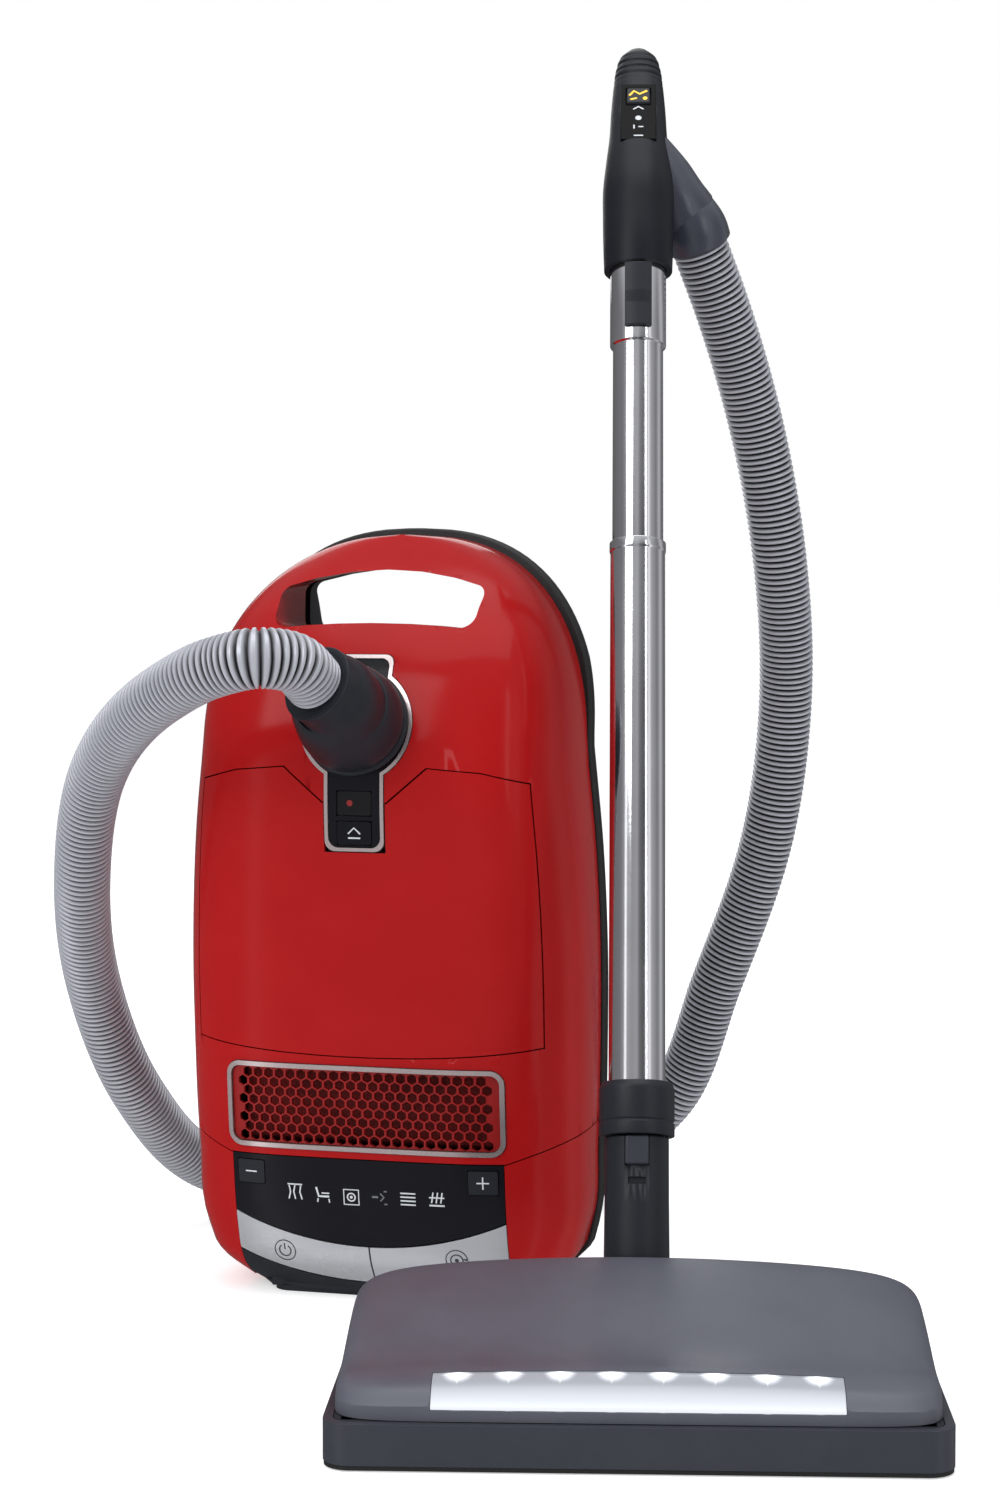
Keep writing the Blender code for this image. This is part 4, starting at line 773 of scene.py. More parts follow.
def make_bumper():
    """The rubber strip round the casing, with a bead along each edge."""
    half = [(-0.004, 0.0), (0.0008, 0.0), (0.0020, 0.0012), (0.0020, 0.0042), (0.0011, 0.0052)]
    profile = half + [(grow, BUMPER_DEPTH - y) for grow, y in reversed(half)]
    bm = bmesh.new()
    rows = []
    for grow, y in profile:
        wide = 0.0030 if grow > 0 else 0.0
        row = []
        for (x, z), (x_out, z_out) in zip(silhouette(grow), silhouette(grow + wide)):
            share = limited((z - 0.385) / 0.05) + 0.7 * limited((0.05 - z) / 0.03)
            x, z = x + (x_out - x) * share, max(0.001, z + (z_out - z) * share)
            row.append(bm.verts.new((x, SPLIT_Y + FIT + bend(z) + y, z)))
        rows.append(row)
    for one, two in zip(rows, rows[1:] + rows[:1]):
        for i in range(len(one)):
            j = (i + 1) % len(one)
            bm.faces.new((one[i], one[j], two[j], two[i]))
    dress(add_mesh(bm, "bumper_strip_visual"), "bumper_strip")


def make_chassis():
    """The tub behind the bumper, hollow, with the carry opening and the cord's gland cut through."""
    steps = ((0, -0.0005), (0.005, -0.0010), (0.014, -0.003), (0.021, -0.0054), (0.026, -0.008),
             (0.030, -0.0113), (0.033, -0.015), (0.035, -0.0192), (0.036, -0.024))
    chassis = loft("chassis_visual", [chassis_ring(y, grow) for y, grow in steps], level=True)
    steps = ((-0.001, -0.0035), (0.014, -0.006), (0.026, -0.011), (0.033, -0.020))
    rings = [[(x, CHASSIS_Y + y, z) for x, z in silhouette(grow, HOLLOW_TOP)] for y, grow in steps]
    cut(chassis, opening_tool(), loft("tub", rings, level=True),
        rod_between("gland", (-0.15, 0.056, 0.07), (-0.10, 0.056, 0.07), 0.0067))
    dress(soften(chassis, 0.0009), "chassis")


# The windows of the socket's plate as heights of middle and half, and the control panel's keys.
WINDOW_HALF_WIDTH, WINDOW_GAP = 0.0122, 0.0005
LATCH_WINDOW, INDICATOR_WINDOW = (0.32325, 0.00825), (0.3430, 0.0085)
COMB_ROWS, COMB_PITCH, COMB_HEXAGON, COMB_MARGIN = 8, 0.0078, 0.0037, 0.0043
COMB_HALF_WIDTH = GRILLE_HALF_WIDTH - GRILLE_BAND - 0.0075
KEY_X, KEY_Z = 0.08175, 0.0886

# The signs between the keys: drapes, seat, rug, step down, carpet pile and bare floor. Each stroke is its
# width in lines and its points in sign sizes, and it closes where the first point comes again.
SIGN_SIZE, SIGN_LINE = 0.0105, 0.0009
RUG_SIGN, STEP_SIGN = 2, 3
SETTING_SIGNS = (
    ((1, (-0.5, 0.5), (0.5, 0.5)), (1, (-0.4, 0.42), (-0.32, 0), (-0.45, -0.5)),
     (1, (0.0, 0.42), (-0.1, 0), (0.0, -0.5)), (1, (0.4, 0.42), (0.32, 0), (0.45, -0.5))),
    ((1.6, (-0.45, 0.5), (-0.3, -0.1), (0.4, -0.1)), (1, (-0.35, -0.25), (-0.4, -0.5)),
     (1, (0.38, -0.25), (0.42, -0.5)), (1, (-0.1, 0.12), (0.42, 0.12))),
    ((1, (-0.5, -0.5), (0.5, -0.5), (0.5, 0.5), (-0.5, 0.5), (-0.5, -0.5)),),
    ((1.5, (-0.5, 0.1), (-0.1, 0.1)), (1, (0.05, 0.35), (0.3, 0.1), (0.05, -0.15)),
     (1, (0.3, 0.5), (0.5, 0.5)), (1, (0.3, -0.35), (0.5, -0.35))),
    tuple((1.1, (-0.5, v), (0.5, v)) for v in (-0.35, -0.1, 0.15, 0.4)),
    ((1.3, (-0.5, -0.42), (0.5, -0.42)), *[(1, (u, -0.25), (u + 0.12, 0.45)) for u in (-0.35, -0.05, 0.25)],
     (1, (-0.5, 0.1), (0.5, 0.1))),
)


def decal(name, loops, body, material, proud=0.00022, slot="control_black"):
    """Print that lies on the casing's front, as thin as a film."""
    dress(front_panel(name, loops, proud, 0.0001, 0, edge=0), body=body, slot=slot, material=material)


def stroke(points, width, closed=False):
    """The outline of a line of this width along the points."""
    points = [Vector(p) for p in points]
    left, right = [], []
    for i, p in enumerate(points):
        back = points[i - 1] if (i or closed) else p
        ahead = points[(i + 1) % len(points)] if (i < len(points) - 1 or closed) else p
        way = (ahead - back).normalized()
        side = Vector((-way.y, way.x)) * width / 2
        left.append(tuple(p + side))
        right.append(tuple(p - side))
    return [left, right] if closed else [left + right[::-1]]


def ring_outline(x, y, radius, width):
    return [circle(x, y, radius, 36), circle(x, y, radius - width, 36)]


def setting_sign(kind, x, z):
    """The outlines of a generic setting sign about a point."""
    loops = []
    for width, *points in SETTING_SIGNS[kind]:
        points = [(x + SIGN_SIZE * u, z + SIGN_SIZE * v) for u, v in points]
        closed = points[0] == points[-1]
        loops += stroke(points[:-1] if closed else points, SIGN_LINE * width, closed)
    if kind == RUG_SIGN:
        loops += ring_outline(x, z, 0.3 * SIGN_SIZE, SIGN_LINE) + [circle(x, z, 0.1 * SIGN_SIZE, 16)]
    return loops


def plus_outline(x, z, arm, thick):
    corners = [(arm, -thick), (arm, thick), (thick, thick)]
    loop = []
    for _ in range(4):
        loop += [(x + u, z + v) for u, v in corners]
        corners = [(-v, u) for u, v in corners]
    return loop


def box_about(x, z, half_x, half_z):
    return rectangle(x - half_x, z - half_z, x + half_x, z + half_z)


def front_plate(name, loops, *sizes, material=None, **more):
    """A CAD node's plate on the casing's front."""
    dress(front_panel(name + "_visual", loops, *sizes, **more), name, material=material)


def window_plate(name, window, proud, edge):
    """The plate that fills a window of the socket's plate."""
    z, half = window
    outline = box_about(0, z, WINDOW_HALF_WIDTH - WINDOW_GAP, half - WINDOW_GAP)
    front_plate(name, [rounded(outline, 0.0015)], proud, 0.0035, edge=edge)


def make_latch():
    """The socket's bright edge and plate, with the latch and the bag's indicator in their windows."""
    front_plate("socket_trim", [socket_outline(0), socket_outline(TRIM_BAND)], 0.0010, edge=0.0005,
                material=TRIM_EDGE)
    windows = [box_about(0, z, WINDOW_HALF_WIDTH, half) for z, half in (LATCH_WINDOW, INDICATOR_WINDOW)]
    front_plate("socket_plate", [socket_outline(TRIM_BAND + FIT), circle(0, SOCKET_Z, 0.0325), *windows],
                edge=0.0004)
    window_plate("latch_button", LATCH_WINDOW, 0.0006, 0.0006)
    sign = stroke([(-0.0042, 0.3228), (0.0, 0.3268), (0.0042, 0.3228)], 0.0010)
    sign += stroke([(-0.0042, 0.3200), (0.0042, 0.3200)], 0.0010)
    decal("latch_sign", sign, "latch_button", PRINT_LIGHT, proud=0.00085)
    window_plate("bag_indicator", INDICATOR_WINDOW, -0.0006, 0.0005)
    decal("bag_lamp", [circle(-0.003, 0.3432, 0.0021, 24)], "canister", LAMP_RED, proud=-0.0003,
          slot="indicator")


def make_grille():
    front_plate("grille_frame", [grille_outline(0), grille_outline(GRILLE_BAND)], 0.0012, 0.004, edge=0.0009,
                material=TRIM_EDGE)
    low, high = GRILLE_LOW + GRILLE_BAND + COMB_MARGIN, GRILLE_HIGH - GRILLE_BAND - COMB_MARGIN
    holes = []
    for j in range(COMB_ROWS):
        z = low + (high - low) * j / (COMB_ROWS - 1)
        for i in range(-13, 14):
            x = (i + 0.5 * (j % 2)) * COMB_PITCH
            if abs(x) < COMB_HALF_WIDTH:
                holes.append(circle(x, z, COMB_HEXAGON, 6, math.pi / 6))
    front_plate("exhaust_grille", [grille_outline(GRILLE_BAND + FIT), *holes], -0.0012, 0.0045, spacing=0.012,
                edge=0.0004)


def make_panel():
    """The control panel with its two keys and the six signs between them."""
    holes = [rounded(box_about(way * KEY_X, KEY_Z, 0.01025, 0.0086), 0.001) for way in (1, -1)]
    front_plate("control_panel", [panel_outline(), *holes], edge=0.0008)
    for name, x in (("plus_button", KEY_X), ("minus_button", -KEY_X)):
        front_plate(name, [rounded(box_about(x, KEY_Z, 0.0098, 0.0081), 0.0012)], 0.0006, 0.0035, edge=0.0007)
        shape = plus_outline if x > 0 else box_about
        decal(name + "_sign", [shape(x, KEY_Z, 0.0042, 0.00045)], name, PRINT_LIGHT, proud=0.00085,
              slot="dark_plastic")
    for k in range(len(SETTING_SIGNS)):
        x = 0.0200 * k - 0.0500
        material = PRINT_DIM if k == STEP_SIGN else PRINT_LIGHT
        decal(f"setting_sign_{k + 1}", setting_sign(k, x, 0.0745 + 0.7 * x**2), "canister", material)


def make_pedals():
    half = PANEL_HALF_WIDTH
    for name, way in (("on_off_pedal", -1), ("rewind_pedal", 1)):
        xs = [0.0006 + (half - 0.0006) * k / 16 for k in range(17)]
        top = [(x, PANEL_LOW + PANEL_LOW_RISE * (x / half) ** 2 - PEDAL_GAP) for x in xs]
        bottom = [(x, PEDAL_LOW + PEDAL_LOW_RISE * (x / half) ** 2) for x in xs]
        front_plate(name, [[(way * x, z) for x, z in bottom + top[::-1]]], 0.0003, 0.003, edge=0.0009)
    x, z = -0.061, 0.0330
    arc = [(x + 0.0042 * math.sin(a), z + 0.0042 * math.cos(a)) for a in np.linspace(0.6, TAU - 0.6, 22)]
    power = stroke(arc, 0.0008) + [rectangle(x - 0.0004, z + 0.0008, x + 0.0004, z + 0.0052)]
    power += ring_outline(x, z, 0.0078, 0.0006)
    x = 0.061
    plug = ring_outline(x, z, 0.0078, 0.0006) + ring_outline(x, z, 0.0046, 0.0008)
    plug += [circle(x, z, 0.0014, 16)] + stroke([(x + 0.0046, z + 0.001), (x + 0.0075, z + 0.001)], 0.0008)
    for name, sign, body in (("power_sign", power, "on_off_pedal"), ("cord_sign", plug, "rewind_pedal")):
        decal(name, sign, body, PRINT_DARK, proud=0.00055, slot="silver_plastic")


def make_foot():
    half = PANEL_HALF_WIDTH
    top = [(x, z - PEDAL_GAP) for x, z in bowed(half, PEDAL_LOW, PEDAL_LOW_RISE)]
    foot = front_panel("stand_foot_visual",
                       [[(-half, 0.0105), (-0.079, 0.003), (0.079, 0.003), (half, 0.0105)] + top[::-1]],
                       0.0, 0.008, edge=0)
    sole = rounded(rectangle(-FOOT_HALF_WIDTH, -0.0595, FOOT_HALF_WIDTH, 0.060), 0.012)
    base = slab("sole", [sole], 0.0, CASE_BOTTOM - 0.0024)
    block = box_tool((-FOOT_HALF_WIDTH, -0.058, 0.003), (FOOT_HALF_WIDTH, -0.0212, 0.012))
    cut(foot, base, block, operation="UNION")
    dress(soften(foot, 0.0007), "stand_foot")


# Hose socket and the canister's elbow


def socket_point(out):
    start = Vector((0, case_front(0, SOCKET_Z), SOCKET_Z))
    return start + out * Vector((0, -math.cos(SOCKET_TILT), math.sin(SOCKET_TILT)))


def socket_matrix():
    return Matrix.Translation(socket_point(0)) @ Matrix.Rotation(math.pi / 2 - SOCKET_TILT, 4, "X")


def make_socket():
    rim = eased([(0.030, 0.0006), (0.030, -0.029), (0.0272, -0.029), (0.0272, 0.0006)], 0.0006)
    dress(place(turned("hose_socket_visual", rim), socket_matrix()), "hose_socket")
    end, following = [Vector(p) for p in hose_points(2 * HOSE_RADIUS)[:2]]
    way = (end - following).normalized()
    route = [socket_point(out) for out in (0.0016, 0.010, 0.022, 0.038)]
    route += [end + way * 0.020, end + way * 0.012, end + way * 0.0012]
    radii = [0.0335, 0.0352, 0.0350, 0.0318, 0.0275, 0.0262, 0.0257]
    elbow = smooth_tube("canister_elbow_visual", route, radii)
    dress(soften(elbow, 0.0012, 3), "canister_elbow")
    skirt = [(0.0362, 0.0016), (0.0362, 0.0042), (0.0338, 0.0052), (0.030, 0.0052), (0.030, 0.0016)]
    cuff = [(0.0258, 0.0010), (0.0258, 0.0075), (0.0246, 0.0085), (0.0215, 0.0085), (0.0215, 0.0010)]
    cuff_place = Matrix.Translation(end) @ turn_to(way)
    for name, profile, at in (("elbow_skirt", skirt, socket_matrix()), ("elbow_cuff", cuff, cuff_place)):
        dress(place(turned(name, eased(profile, 0.0006)), at), body="canister_elbow", slot="dark_plastic")


# Hose


def hose_points(spacing):
    return smooth_route(HOSE_ROUTE, spacing)


def make_hose():
    """A ribbed hose in two lengths that meet halfway up beside the wand."""
    steps, sides = 6, 40
    points = hose_points(HOSE_PITCH / steps)
    rises = [min(1.0, 1.25 * (0.5 - 0.5 * math.cos(TAU * (i % steps) / steps))) for i in range(len(points))]
    radii = [HOSE_GROOVE + (HOSE_RADIUS - HOSE_GROOVE) * rise for rise in rises]
    rings = tube_rings(points, radii, sides)
    meet = next(i for i, p in enumerate(points) if i > len(points) // 2 and p.z > HOSE_MEETS)
    meet -= meet % steps
    start = points[int(TURN_START * len(points))]
    reach = (points[meet] - start).dot(TURN_WAY) - HOSE_RADIUS
    lower = ("hose_lower", 0, meet, "canister", "wand", start, start + reach * TURN_WAY)
    upper = ("hose_upper", meet, len(points) - 1, "wand", "upper_wand", points[meet], points[-1])
    for name, first, last, *turn in (lower, upper):
        piece = loft(name, rings[first:last + 1])
        rib = piece.data.attributes.new("rib", "FLOAT", "POINT")
        rib.data.foreach_set("value", [rises[i] for i in range(first, last + 1) for _ in range(sides)])
        piece.data.materials.append(MATERIALS["hose_grey"])
        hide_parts("suction_hose")
        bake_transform(piece)
        path = points[first:last + 1:3]
        if (last - first) % 3:
            path.append(points[last])


# Casters


def make_casters():
    """Forks that swivel on discs behind the chassis, each with a wheel that has a grooved tread."""
    depth = CASTER_DEPTH + 0.001
    wheel_place = (CASTER_DEPTH, -CASTER_TRAIL)
    r = CASTER_RADIUS
    half = [(r - 0.0006, -0.0008), (r, -0.0060), (r - 0.0012, -0.0093), (0.0118, -0.0093),
            (0.0110, -0.0078), (0.0062, -0.0078), (0.0055, -0.0093), (0.0027, -0.0093)]
    tread = half + [(radius, -z) for radius, z in reversed(half)]
    for number, (x, z) in enumerate(CASTERS, 1):
        axis = Matrix.Translation((x, CASTER_Y, z))
        bm = outline_mesh([rounded(rectangle(-0.0138, 0.0, 0.0138, 0.027), 0.006)], depth)
        turn = Matrix(((1, 0, 0, 0), (0, 0, 1, 0.0040 + depth / 2), (0, 1, 0, -0.0185), (0, 0, 0, 1)))
        bmesh.ops.transform(bm, matrix=turn, verts=bm.verts)
        fork = add_mesh(bm, f"caster_fork_{number}_visual")
        cut(fork, box_tool((-0.0103, 0.0065, -0.03), (0.0103, 0.05, 0.02)))
        cut(fork, rod_between("disc", (0, 0.0003, 0), (0, 0.0055, 0), 0.0135),
            rod_between("pin", (-0.0125, *wheel_place), (0.0125, *wheel_place), 0.0022), operation="UNION")
        dress(place(soften(fork, 0.0008), axis), f"caster_fork_{number}")
        wheel = turned(f"caster_wheel_{number}_visual", eased(tread, 0.0006, 2), 48)
        place(wheel, axis @ Matrix.Translation((0, *wheel_place)) @ Matrix.Rotation(math.pi / 2, 4, "Y"))
        dress(wheel, f"caster_wheel_{number}")


# Floor head


HEAD = Matrix.Translation(HEAD_PLACE) @ Matrix.Rotation(HEAD_YAW, 4, "Z")
WAND = HEAD @ Matrix.Translation((0, PIVOT_Y, PIVOT_Z)) @ Matrix.Rotation(-WAND_LEAN, 4, "X")
FACE = WAND @ Matrix.Translation((0, 0.0045, 0.805)) @ Matrix.Rotation(math.radians(-21), 4, "X")
ROCKER_HIGH = 0.0145
cover_line = smooth_through([(k / (len(COVER_PROFILE) - 3), p[0]) for k, p in enumerate(COVER_PROFILE[1:-1])])
cover_rise = smooth_through([(k / (len(COVER_PROFILE) - 3), p[1]) for k, p in enumerate(COVER_PROFILE[1:-1])])
COVER_STEPS = 54


def cover_ring(x, inset):
    """The cover's outline in its own Y and Z where it is this far across."""
    half = COVER_HALF_WIDTH - inset
    share = min(abs(x) / half, 1.0)
    height = (1 - share**9) ** (1 / 9) * (1 - 0.19 * share**2)
    depth = (1 - share**10) ** (1 / 10)
    middle = (COVER_PROFILE[0][0] + COVER_PROFILE[-1][0]) / 2
    low = COVER_LOW - (0.004 if inset else 0)
    ring = [(x, middle + (COVER_PROFILE[0][0] + inset - middle) * depth, low)]
    for k in range(COVER_STEPS + 1):
        y, z = cover_line(k / COVER_STEPS), cover_rise(k / COVER_STEPS)
        nearer = y + inset * (1 if y < middle else -1) * (abs(y - middle) / middle) ** 2
        rise = max(z - COVER_LOW - inset, 0.0005) * height
        ring.append((x, middle + (nearer - middle) * depth, COVER_LOW + rise))
    ring.append((x, middle + (COVER_PROFILE[-1][0] - inset - middle) * depth, low))
    return ring


def cover_solid(name, inset):
    half = COVER_HALF_WIDTH - inset
    return loft(name, [cover_ring(half * math.sin(math.radians(a)), inset) for a in range(-88, 89, 2)])


def lamp_window(gap):
    """The space that the strip of lamps takes in the cover, less a gap all round."""
    half = LED_HALF_WIDTH - gap
    return box_tool((-half, -0.02, LED_EDGE + gap), (half, LED_EDGE - gap, 0.08))


def make_lamps():
    lens = cover_solid("led_lens_visual", 0.0003)
    cut(lens, cover_solid("behind", 0.0018))
    cut(lens, lamp_window(FIT), operation="INTERSECT")
    uv = lens.data.uv_layers.new(name="lamps")
    for loop in lens.data.loops:
        co = lens.data.vertices[loop.vertex_index].co
        uv.data[loop.index].uv = (co.x / LAMP_SPACING + 0.5, (co.y - 0.004) / 0.030)
    dress(place(lens, HEAD), "led_lens")
    for k in range(LAMPS):
        x = (k - (LAMPS - 1) / 2) * LAMP_SPACING
        lamp = turned(f"lamp_{k + 1}", [(0, 0.0012), (0.0016, 0.0010), (0.0026, 0.0), (0, 0)], 24)
        tilt = Matrix.Rotation(math.radians(48), 4, "X")
        place(lamp, HEAD @ Matrix.Translation((x, 0.0195, 0.0372)) @ tilt)
        dress(lamp, body="canister", slot="lamp_lens", material=LAMP_WHITE)


def head_outline(inset, radius, steps=12):
    """The head's outline, smaller by the inset."""
    half = HEAD_HALF_WIDTH - inset
    return rounded(rectangle(-half, inset, half, HEAD_DEPTH - inset), radius, steps)


def make_head():
    cover = cover_solid("head_cover_visual", 0)
    cut(cover, cover_solid("hollow", 0.0025), lamp_window(0))
    dress(place(soften(cover, 0.0008, 3), HEAD), "head_cover")
    make_lamps()
    inner = head_outline(0.0055, 0.012)
    bumper = slab("head_bumper_visual", [head_outline(0, 0.016), inner], 0.0035, COVER_LOW - FIT)
    dress(place(soften(bumper, 0.0016, 3), HEAD), "head_bumper", material=BAND)
    edge = rounded(rectangle(-0.1745, 0.0006, 0.1745, HEAD_DEPTH - 0.0006), 0.0155, 12)
    lip = slab("head_bumper_lip", [edge, inner], 0.0008, 0.0050)
    dress(place(soften(lip, 0.0006), HEAD), body="canister", slot="rubber")
    base = slab("head_base_visual", [head_outline(0.006, 0.0115, 8)], 0.0035, COVER_LOW - FIT)
    cut(base, box_tool((-0.1645, 0.010, 0.0065), (0.1645, HEAD_DEPTH - 0.010, 0.05)),
        box_tool((-0.148, 0.0255, -0.01), (0.148, 0.0685, 0.02)))
    feet = [box_tool((x - 0.012, 0.074, 0.0003), (x + 0.012, 0.082, 0.005)) for x in (-0.12, 0.12)]
    cut(base, *feet, operation="UNION")
    dress(place(soften(base, 0.0006), HEAD), "head_base")


# Wand and handle


def wand_piece(name, profile, radius=0.0004, sides=96):
    """A turned CAD node on the wand's axis, over a profile whose corners are eased."""
    dress(place(turned(name + "_visual", eased(profile, radius), sides), WAND), name)


def make_neck():
    profile = [(0, 0.129), (0.0164, 0.129), (0.0164, COLLAR_LOW - FIT), (NECK_RADIUS, COLLAR_LOW - FIT),
               (NECK_RADIUS, 0.060), (0.0205, 0.030), (0.0195, 0.012), (0, 0.012)]
    neck = turned("neck_visual", eased(profile, 0.0015, 4))
    cut(neck, rod_between("barrel", (-0.0218, 0, 0), (0.0218, 0, 0), 0.0188), operation="UNION")
    cut(neck, rod_between("eye", (-0.05, 0, 0), (0.05, 0, 0), 0.0044),
        rod_between("bore", (0, 0, 0.03), (0, 0, 0.15), 0.0135),
        box_tool((-0.0077, -0.03, 0.0845), (0.0077, -0.0152, 0.12)),
        box_tool((-0.0055, -0.03, 0.0730), (0.0055, -0.0180, 0.0775)))
    dress(place(soften(neck, 0.0007), WAND), "neck")
    tab = box_tool((-0.0073, -0.0214, 0.0849), (0.0073, -0.0178, 0.1030))
    tab.name = "wand_latch_visual"
    dress(place(soften(tab, 0.0014, 3), WAND), "wand_latch", material=BAND)


def make_wand():
    """The collar with a groove round it, the two chrome tubes and the slider that locks them."""
    r, low, high, bore = COLLAR_RADIUS, COLLAR_LOW, COLLAR_HIGH, LOWER_RADIUS + FIT
    collar = [(r - 0.0018, high), (r, high - 0.004), (r, low + 0.010), (r - 0.0006, low + 0.0094),
              (r - 0.0006, low + 0.0086), (r, low + 0.0080), (r, low), (bore, low), (bore, high)]
    wand_piece("wand_collar", collar, 0.0009, sides=64)
    r, low, high, bore = LOWER_RADIUS, COLLAR_LOW + FIT, LOWER_TOP, 0.0171
    rim = r + 0.0006
    wand_piece("lower_tube", [(rim, high), (rim, high - 0.006), (r, high - 0.007), (r, low), (bore, low),
                              (bore, high)])
    r, low, high, bore = UPPER_RADIUS, 0.235, SLEEVE_HIGH, 0.0158
    wand_piece("upper_tube", [(SLEEVE_RADIUS, high), (SLEEVE_RADIUS, SLEEVE_LOW), (r, SLEEVE_LOW - 0.001),
                              (r, low), (bore, low), (bore, high)])
    bore = SLEEVE_RADIUS + FIT
    saddle = [(0.0236, 0.684), (0.0236, 0.664), (0.0216, 0.656), (0.0224, 0.640), (bore, 0.640),
              (bore, 0.684)]
    slider = turned("length_slider_visual", eased(saddle, 0.0008), 96)
    cut(slider, box_tool((-0.0090, -0.03, 0.6), (0.0090, -0.008, 0.7)), operation="INTERSECT")
    dress(place(soften(slider, 0.0010, 3), WAND), "length_slider")


def handle_ring(z):
    """The handle's outline at this height along the wand, with fine ridges round its cap."""
    back, wide, deep = [line(z) for line in handle_lines]
    ridged = limited((z - 0.838) / 0.004) * limited((0.868 - z) / 0.004)
    groove = 0.0009 * ridged * max(0.0, math.sin(TAU * z / 0.0062)) ** 2
    return [((wide - groove) * x, back + (deep - groove) * y, z) for x, y in circle(0, 0, 1, 64)]


handle_lines = [smooth_through([(row[0], row[k]) for row in HANDLE_SECTIONS]) for k in (1, 2, 3)]


def make_handle():
    lowest, length = HANDLE_SECTIONS[0][0], HANDLE_SECTIONS[-1][0] - HANDLE_SECTIONS[0][0]
    body = loft("handle_body_visual", [handle_ring(lowest + length * k / 190) for k in range(191)])
    pocket = place(box_tool((-0.0124, -0.01, -0.0275), (0.0124, 0.0028, 0.0275)), WAND.inverted() @ FACE)
    cut(body, rod_between("bore", (0, 0, 0.60), (0, 0, 0.708), SLEEVE_RADIUS + FIT),
        rod_between("port", PORT_CENTRE + PORT_WAY * 0.016, PORT_CENTRE + PORT_WAY * 0.06, 0.0183), pocket)
    dress(place(soften(body, 0.0009, 3), WAND), "handle_body", material=HANDLE)
    panel = box_tool((-0.0120, -0.0010, -0.0271), (0.0120, 0.0024, 0.0271))
    panel.name = "handle_panel_visual"
    cut(panel, box_tool((-0.0085, -0.01, 0.0065), (0.0085, 0.01, 0.0225)))
    dress(place(soften(panel, 0.0007, 3), FACE), "handle_panel", material=PANEL_BLACK)
    rocker = box_tool((-0.0080, -0.0024, -0.0074), (0.0080, 0.0012, 0.0074))
    rocker.name = "handle_rocker_visual"
    dress(place(soften(rocker, 0.0012, 3), FACE @ Matrix.Translation((0, 0, ROCKER_HIGH))), "handle_rocker")


def make_handle_marks():
    """Generic signs under the rocker, and a yellow one on it that is bright with a painted glow."""
    marks = (
        lambda z: stroke([(-0.0035, z), (0.0, z + 0.0026), (0.0035, z)], 0.0010),
        lambda z: [circle(0, z, 0.0021, 20)],
        lambda z: (stroke([(-0.0030, z - 0.0018), (-0.0030, z + 0.0018)], 0.0010)
                   + stroke([(0.0034, z), (0.0, z)], 0.0010)),
        lambda z: stroke([(-0.0032, z), (0.0032, z)], 0.0011),
    )
    for k, mark in enumerate(marks):
        film = add_mesh(outline_mesh(mark(0.0020 - 0.0085 * k), 0.0002), f"handle_mark_{k + 1}")
        place(film, FACE @ facing(-0.0011))
        dress(film, body="upper_wand", slot="control_black", material=PRINT_LIGHT)
    sign = stroke([(-0.0062, -0.0005), (-0.0030, 0.0040), (0.0008, 0.0010), (0.0060, 0.0042)], 0.0016)
    sign += [circle(0.0046, -0.0032, 0.0016, 18)] + stroke([(-0.0055, -0.0042), (-0.0010, -0.0030)], 0.0014)
    film = place(add_mesh(outline_mesh(sign, 0.0002), "rocker_mark"), FACE @ facing(-0.0025, ROCKER_HIGH))
    # The rocker's yellow sign glows with painted light.
    dress(film, body="handle_rocker", slot="dark_plastic", material=PRINT_YELLOW_PAINTED_GLOW)


def make_handle_elbow():
    """The elbow that takes the hose's end, and the fairing over its port."""
    before, end = [WAND.inverted() @ Vector(p) for p in hose_points(2 * HOSE_RADIUS)[-2:]]
    way = (end - before).normalized()
    route = [PORT_CENTRE + PORT_WAY * t for t in (0.0165, 0.045, 0.053)]
    route += [end + way * t for t in (0.010, 0.0012)]
    elbow = smooth_tube("handle_elbow_visual", route, [0.0176, 0.0225, 0.0238, 0.0232, 0.0228], 0.0015)
    start = Vector((0.004, 0.012, 0.790))
    fairing = smooth_tube("port_fairing", [start, start.lerp(route[1], 0.55), route[1], route[2]],
                          [0.0120, 0.0205, 0.0246, 0.0246], 0.0015)
    dress(place(soften(fairing, 0.0010, 3), WAND), body="upper_wand", slot="head_plastic", material=ELBOW)
    dress(place(soften(elbow, 0.0010, 3), WAND), "handle_elbow", material=ELBOW)


# Insides


def make_insides():
    bag = bmesh.new()
    bmesh.ops.create_icosphere(bag, subdivisions=5, radius=1)
    low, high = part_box("dust_bag")
    middle, half = (low + high) / 2, (high - low) / 2
    for v in bag.verts:
        p = v.co.copy()
        size = sum(abs(c) ** 5 for c in p) ** (1 / 5)
        p /= size
        fold = 0.010 * math.sin(9 * p.x + 3 * math.sin(5 * p.z)) * math.sin(7 * p.z + 2)
        v.co = Vector((middle.x + half.x * p.x * (1 - 0.02 + fold), middle.y + half.y * p.y * (0.97 + fold),
                       middle.z + half.z * p.z * (0.98 + fold)))
    piece = add_mesh(bag, "dust_bag_visual", 60)
    dress(piece, "dust_bag")


# Stage


# Each light's place, the point it looks at, its size and its power.
LIGHTS = (
    ("key", (-1.2, -2.6, 2.2), (0.05, -0.05, 0.3), (1.6, 1.6), 34),
    ("fill", (2.4, -1.9, 1.3), (0.1, 0, 0.3), (0.3, 2.0), 6),
    ("top", (0.2, -0.3, 3.0), (0.1, 0, 0.2), (2.6, 2.2), 40),
    ("rear", (-1.0, 2.6, 1.8), (0.1, 0, 0.4), (1.6, 1.6), 12),
)


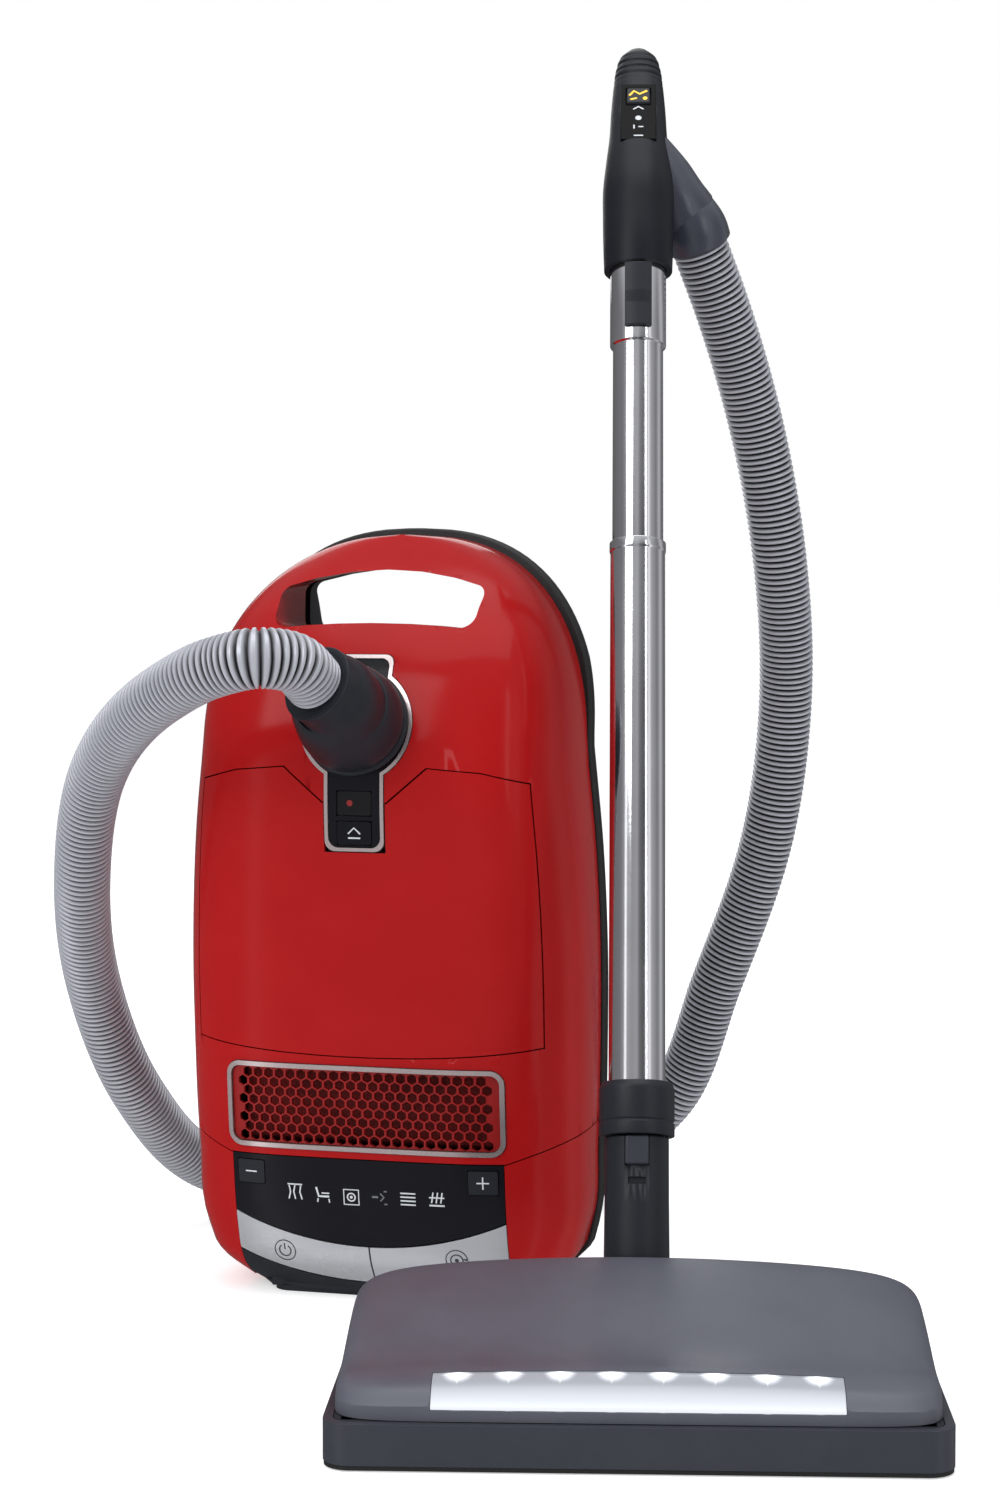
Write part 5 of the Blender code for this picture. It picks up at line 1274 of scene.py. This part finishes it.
def add_light(name, place_at, target, size, power):
    lamp = bpy.data.lights.new(name, "AREA")
    lamp.shape = "RECTANGLE"
    lamp.size, lamp.size_y = size
    lamp.energy = power
    obj = bpy.data.objects.new(name, lamp)
    obj.location = place_at
    obj.rotation_euler = (Vector(target) - obj.location).to_track_quat("-Z", "Y").to_euler()
    bpy.context.scene.collection.objects.link(obj)


def make_stage():
    bm = bmesh.new()
    bmesh.ops.create_grid(bm, x_segments=2, y_segments=2, size=40)
    floor = add_mesh(bm, "floor")
    floor.visible_glossy = False
    pale = surface("floor_pale", (0.93, 0.93, 0.93), 0.7, specular=0.0, variation=0.004)
    fill(shader_of(pale), {"Emission Color": (1, 1, 1, 1), "Emission Strength": 0.50})
    floor.data.materials.append(pale)
    bpy.context.scene.view_settings.view_transform = "Standard"
    make_room()
    for light in LIGHTS:
        add_light(*light)


# Brightness of the studio's walls by direction, in turns from the wall behind the object.
WALLS = (
    (0.0, 0.12), (0.08, 0.14), (0.15, 0.18), (0.29, 0.24), (0.335, 0.40), (0.355, 1.7), (0.375, 0.45),
    (0.43, 0.38), (0.49, 0.45), (0.52, 0.20), (0.57, 0.10), (0.61, 0.30), (0.635, 1.25), (0.665, 0.50),
    (0.75, 0.25), (0.805, 0.6), (0.86, 0.20), (0.95, 0.12), (1.0, 0.12),
)


def make_room():
    """A pale studio, with soft bright and dark walls that the chrome shows."""
    world = bpy.data.worlds.new("studio")
    bpy.context.scene.world = world
    world.use_nodes = True
    tree = world.node_tree
    tree.nodes.clear()
    way = node(tree, "TexCoord", {}, "Generated")
    way = node(tree, "Mapping", {"Vector": way, "Rotation": (0, 0, math.radians(-15))})
    right, ahead, up = node(tree, "SeparateXYZ", {"Vector": way}).node.outputs
    angle = calculate(tree, "ARCTAN2", right, calculate(tree, "MULTIPLY", ahead, -1.0))
    turns = between(tree, angle, -math.pi, math.pi, 0.0, 1.0, "LINEAR")
    walls = ramp(tree, turns, [(place_at, (level, level, level * 1.01)) for place_at, level in WALLS])
    raised = between(tree, up, 0.35, 0.8, 0.0, 1.0)
    colours = {"Factor": raised, "A": walls, "B": (0.75, 0.76, 0.78, 1)}
    room = node(tree, "Background", {"Color": node(tree, "Mix", colours, "Result", data_type="RGBA")})
    plain = node(tree, "Background", {"Color": (1, 1, 1, 1)})
    seen = node(tree, "LightPath", {}, "Is Camera Ray")
    mixed = node(tree, "MixShader", {"Fac": seen, 1: room, 2: plain})
    fill(tree.nodes.new("ShaderNodeOutputWorld"), {"Surface": mixed})


def make_camera():
    camera = bpy.data.cameras.new("camera")
    camera.lens = 70.67
    camera.sensor_width = 36
    obj = bpy.data.objects.new("camera", camera)
    bpy.context.scene.collection.objects.link(obj)
    obj.location = (0.5945, -1.9645, 0.4926)
    obj.rotation_euler = (math.pi / 2 - 0.0587, 0, 0.261)
    bpy.context.scene.camera = obj


def dress_cad_nodes():
    for name, obj in frame["nodes"].items():
        if not obj.hide_render:
            wear(obj, MATERIALS[SLOT_OF[name]])
            obj.data.shade_smooth()
            obj.data.set_sharp_from_angle(angle=math.radians(35))


make_camera()
make_hose()
make_casing()
make_bumper()
make_chassis()
make_latch()
make_grille()
make_panel()
make_pedals()
make_foot()
make_socket()
make_casters()
make_head()
make_neck()
make_wand()
make_handle()
make_handle_marks()
make_handle_elbow()
make_insides()
dress_cad_nodes()
make_stage()
